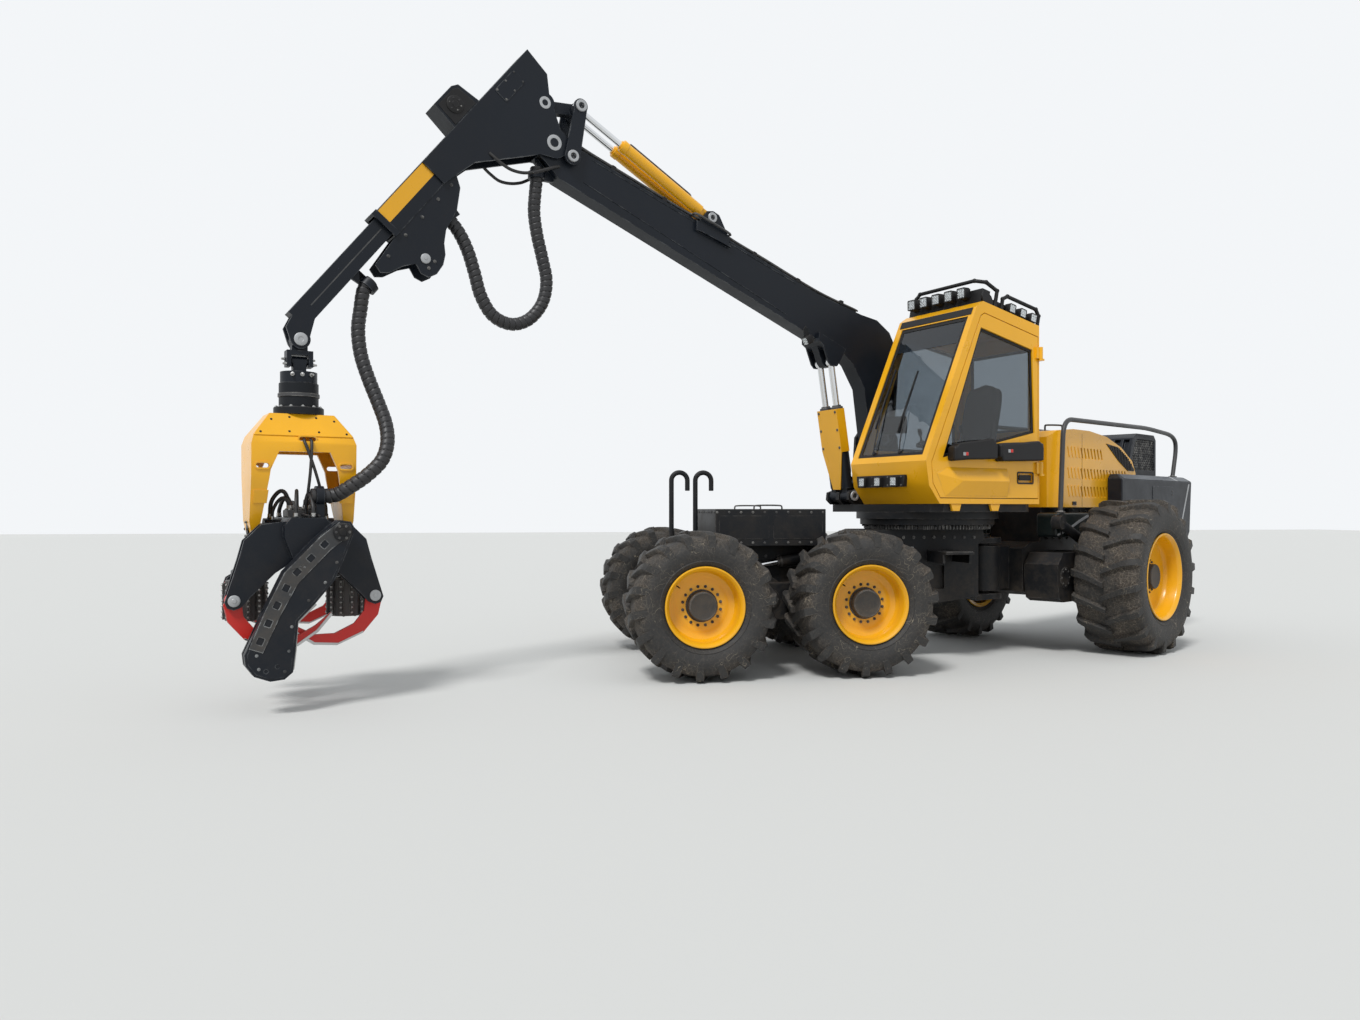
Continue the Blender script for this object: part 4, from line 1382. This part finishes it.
KNIFE_LIP = KNIFE_EDGE + [(x * 0.985 + 0.004, z + 0.018) for x, z in KNIFE_EDGE[::-1]]
STUD = ((1.0, 0.0), (0.9, 0.6), (0.55, 1.15), (0.05, 1.25))
DRUM_R = 0.1640
for side, m in LEFT_RIGHT:
    flip = HEAD @ Matrix.Diagonal((m, 1, 1, 1))
    softened("feed_arm_" + side, BLUE_BLACK, 0.004)
    for end, pin, y, size in (("rear", (0.520, -0.530), 0.265, 1.0), ("front", (0.430, -0.470), -0.505, 0.9)):
        node = "knife_%s_%s" % (end, side)
        softened(node, RED, 0.003)
        mid = y + m * 0.015
        lip = [(pin[0] + size * x, pin[1] + size * z) for x, z in KNIFE_LIP]
        cut_plate(node + "_edge", lip, mid - 0.013, mid + 0.013, flip, PAINT_EDGE, node, 0.002)
        for s in BOTH:
            at = facing((pin[0], y + s * 0.063, pin[1]), (0, s, 0), flip)
            revolved("%s_cap_%d" % (node, s > 0), [(0.044, 0.0), (0.044, 0.008), (0.038, 0.012), (0.020, 0.012),
                                                   (0.016, 0.016), (0.002, 0.017)],
                     at, PIN_GREY, "head", 32)
    for s in BOTH:
        at = facing((0.195, -0.060 + s * 0.172, -0.250), (0, s, 0), flip)
        revolved("feed_pin_%s_%d" % (side, s > 0), [(0.044, 0.0), (0.044, 0.007), (0.038, 0.010), (0.002, 0.011)],
                 at, PIN_GREY, "head", 32)
    axis = flip @ shift(0.390, -0.060, -0.710)
    softened("roller_" + side, CAST, 0.003)
    points, faces = turned_mesh([(0.011 * r, 0.010 * h) for r, h in STUD], 8)
    spots = [facing((DRUM_R * c * 0.985, DRUM_R * d * 0.985, 0.032 + 0.0415 * j), (c, d, 0), axis)
             for c, d in circle(0, 0, 1, 12) for j in range(7)]
    points, faces = joined([(placed(points, spot), faces) for spot in spots])
    outward(surface_piece("roller_studs_" + side, points, faces, STEEL, "roller_" + side, 30))
    bolts("roller_bolts_" + side, bolt_circle(axis @ Matrix.Diagonal((1, 1, -1, 1)), 0.090, 6, 0.0005), 0.009, CAST,
          "roller_" + side, 0.8)
cut_plate("valve_block", rounded((-0.110, 0.0905), (0.110, 0.150), 0.010), -0.060, 0.140, HEAD, CAST, "head", 0.004)
bolts("valve_bolts", [HEAD @ shift(x, y, 0.1502) for x in (-0.090, 0.090) for y in (-0.040, 0.120)], 0.009, STEEL,
      "head")
for k, (x, y) in enumerate(((-0.045, 0.020), (0.0, 0.020), (0.045, 0.020), (-0.045, 0.085), (0.0, 0.085))):
    revolved("block_fitting_%d" % k, [(0.014, -0.002), (0.014, 0.012), (0.009, 0.014), (0.009, 0.024),
                                      (0.001, 0.026)], HEAD @ shift(x, y, 0.1505), STEEL, "head", 20)
for k, (y0, y1, x) in enumerate(((0.155, 0.395, -0.060), (0.155, 0.395, 0.000), (-0.075, -0.300, -0.040),
                                 (-0.075, -0.300, 0.030))):
    bent_pipe("stem_pipe_%d" % k, [(x, y0 * 0.8, 0.118), (x, y0, 0.118), (x * 1.3, (y0 + y1) / 2, 0.106),
                                   (x * 1.3, y1, 0.104)], 0.011, HEAD, HOSE_RUBBER, "head")

# Black hoses rise from the valve block and bend over to the feed arms and the ends of the head; columns are where
# each
# starts and ends across and along the head, and how high it bends.
HEAD_HOSES = ((-0.078, 0.020, -0.212, -0.020, 0.285, 0.084), (-0.078, 0.085, -0.205, 0.030, 0.235, 0.066),
              (0.078, 0.020, 0.212, -0.020, 0.300, 0.084),
              (0.078, 0.085, 0.205, 0.030, 0.245, 0.066), (-0.030, 0.118, -0.040, 0.360, 0.275, 0.092),
              (0.035, 0.118, 0.085, 0.350, 0.300, 0.092),
              (0.052, -0.040, 0.100, -0.290, 0.255, 0.092), (-0.052, -0.040, -0.105, -0.270, 0.225, 0.092),
              (0.010, -0.045, 0.020, -0.400, 0.210, 0.092))
for k, (x0, y0, x1, y1, top, low) in enumerate(HEAD_HOSES):
    r = 0.0135 if k % 2 else 0.0165
    route = [(0.0, 0.146), (0.0, 0.185), (0.15, top - 0.030), (0.4, top), (0.7, top - 0.030), (0.95, top - 0.095),
             (1.0, low + 0.030), (1.0, low)]
    bent_pipe("block_hose_%d" % k, [(x0 * (1 - t) + x1 * t, y0 * (1 - t) + y1 * t, z) for t, z in route], r, HEAD,
              HOSE_RUBBER, "head", 12)
    for end, spot in (("foot", (x0, y0, 0.1505)), ("end", (x1, y1, low - 0.001))):
        revolved("block_hose_%s_%d" % (end, k), [(r + 0.006, 0.0), (r + 0.006, 0.012), (r + 0.003, 0.014),
                                                 (r + 0.003, 0.034), (r + 0.0005, 0.036),
                                                 (r + 0.0005, 0.0), (r + 0.006, 0.0)], HEAD @ shift(*spot), STEEL,
                                                 "head", 20, False)
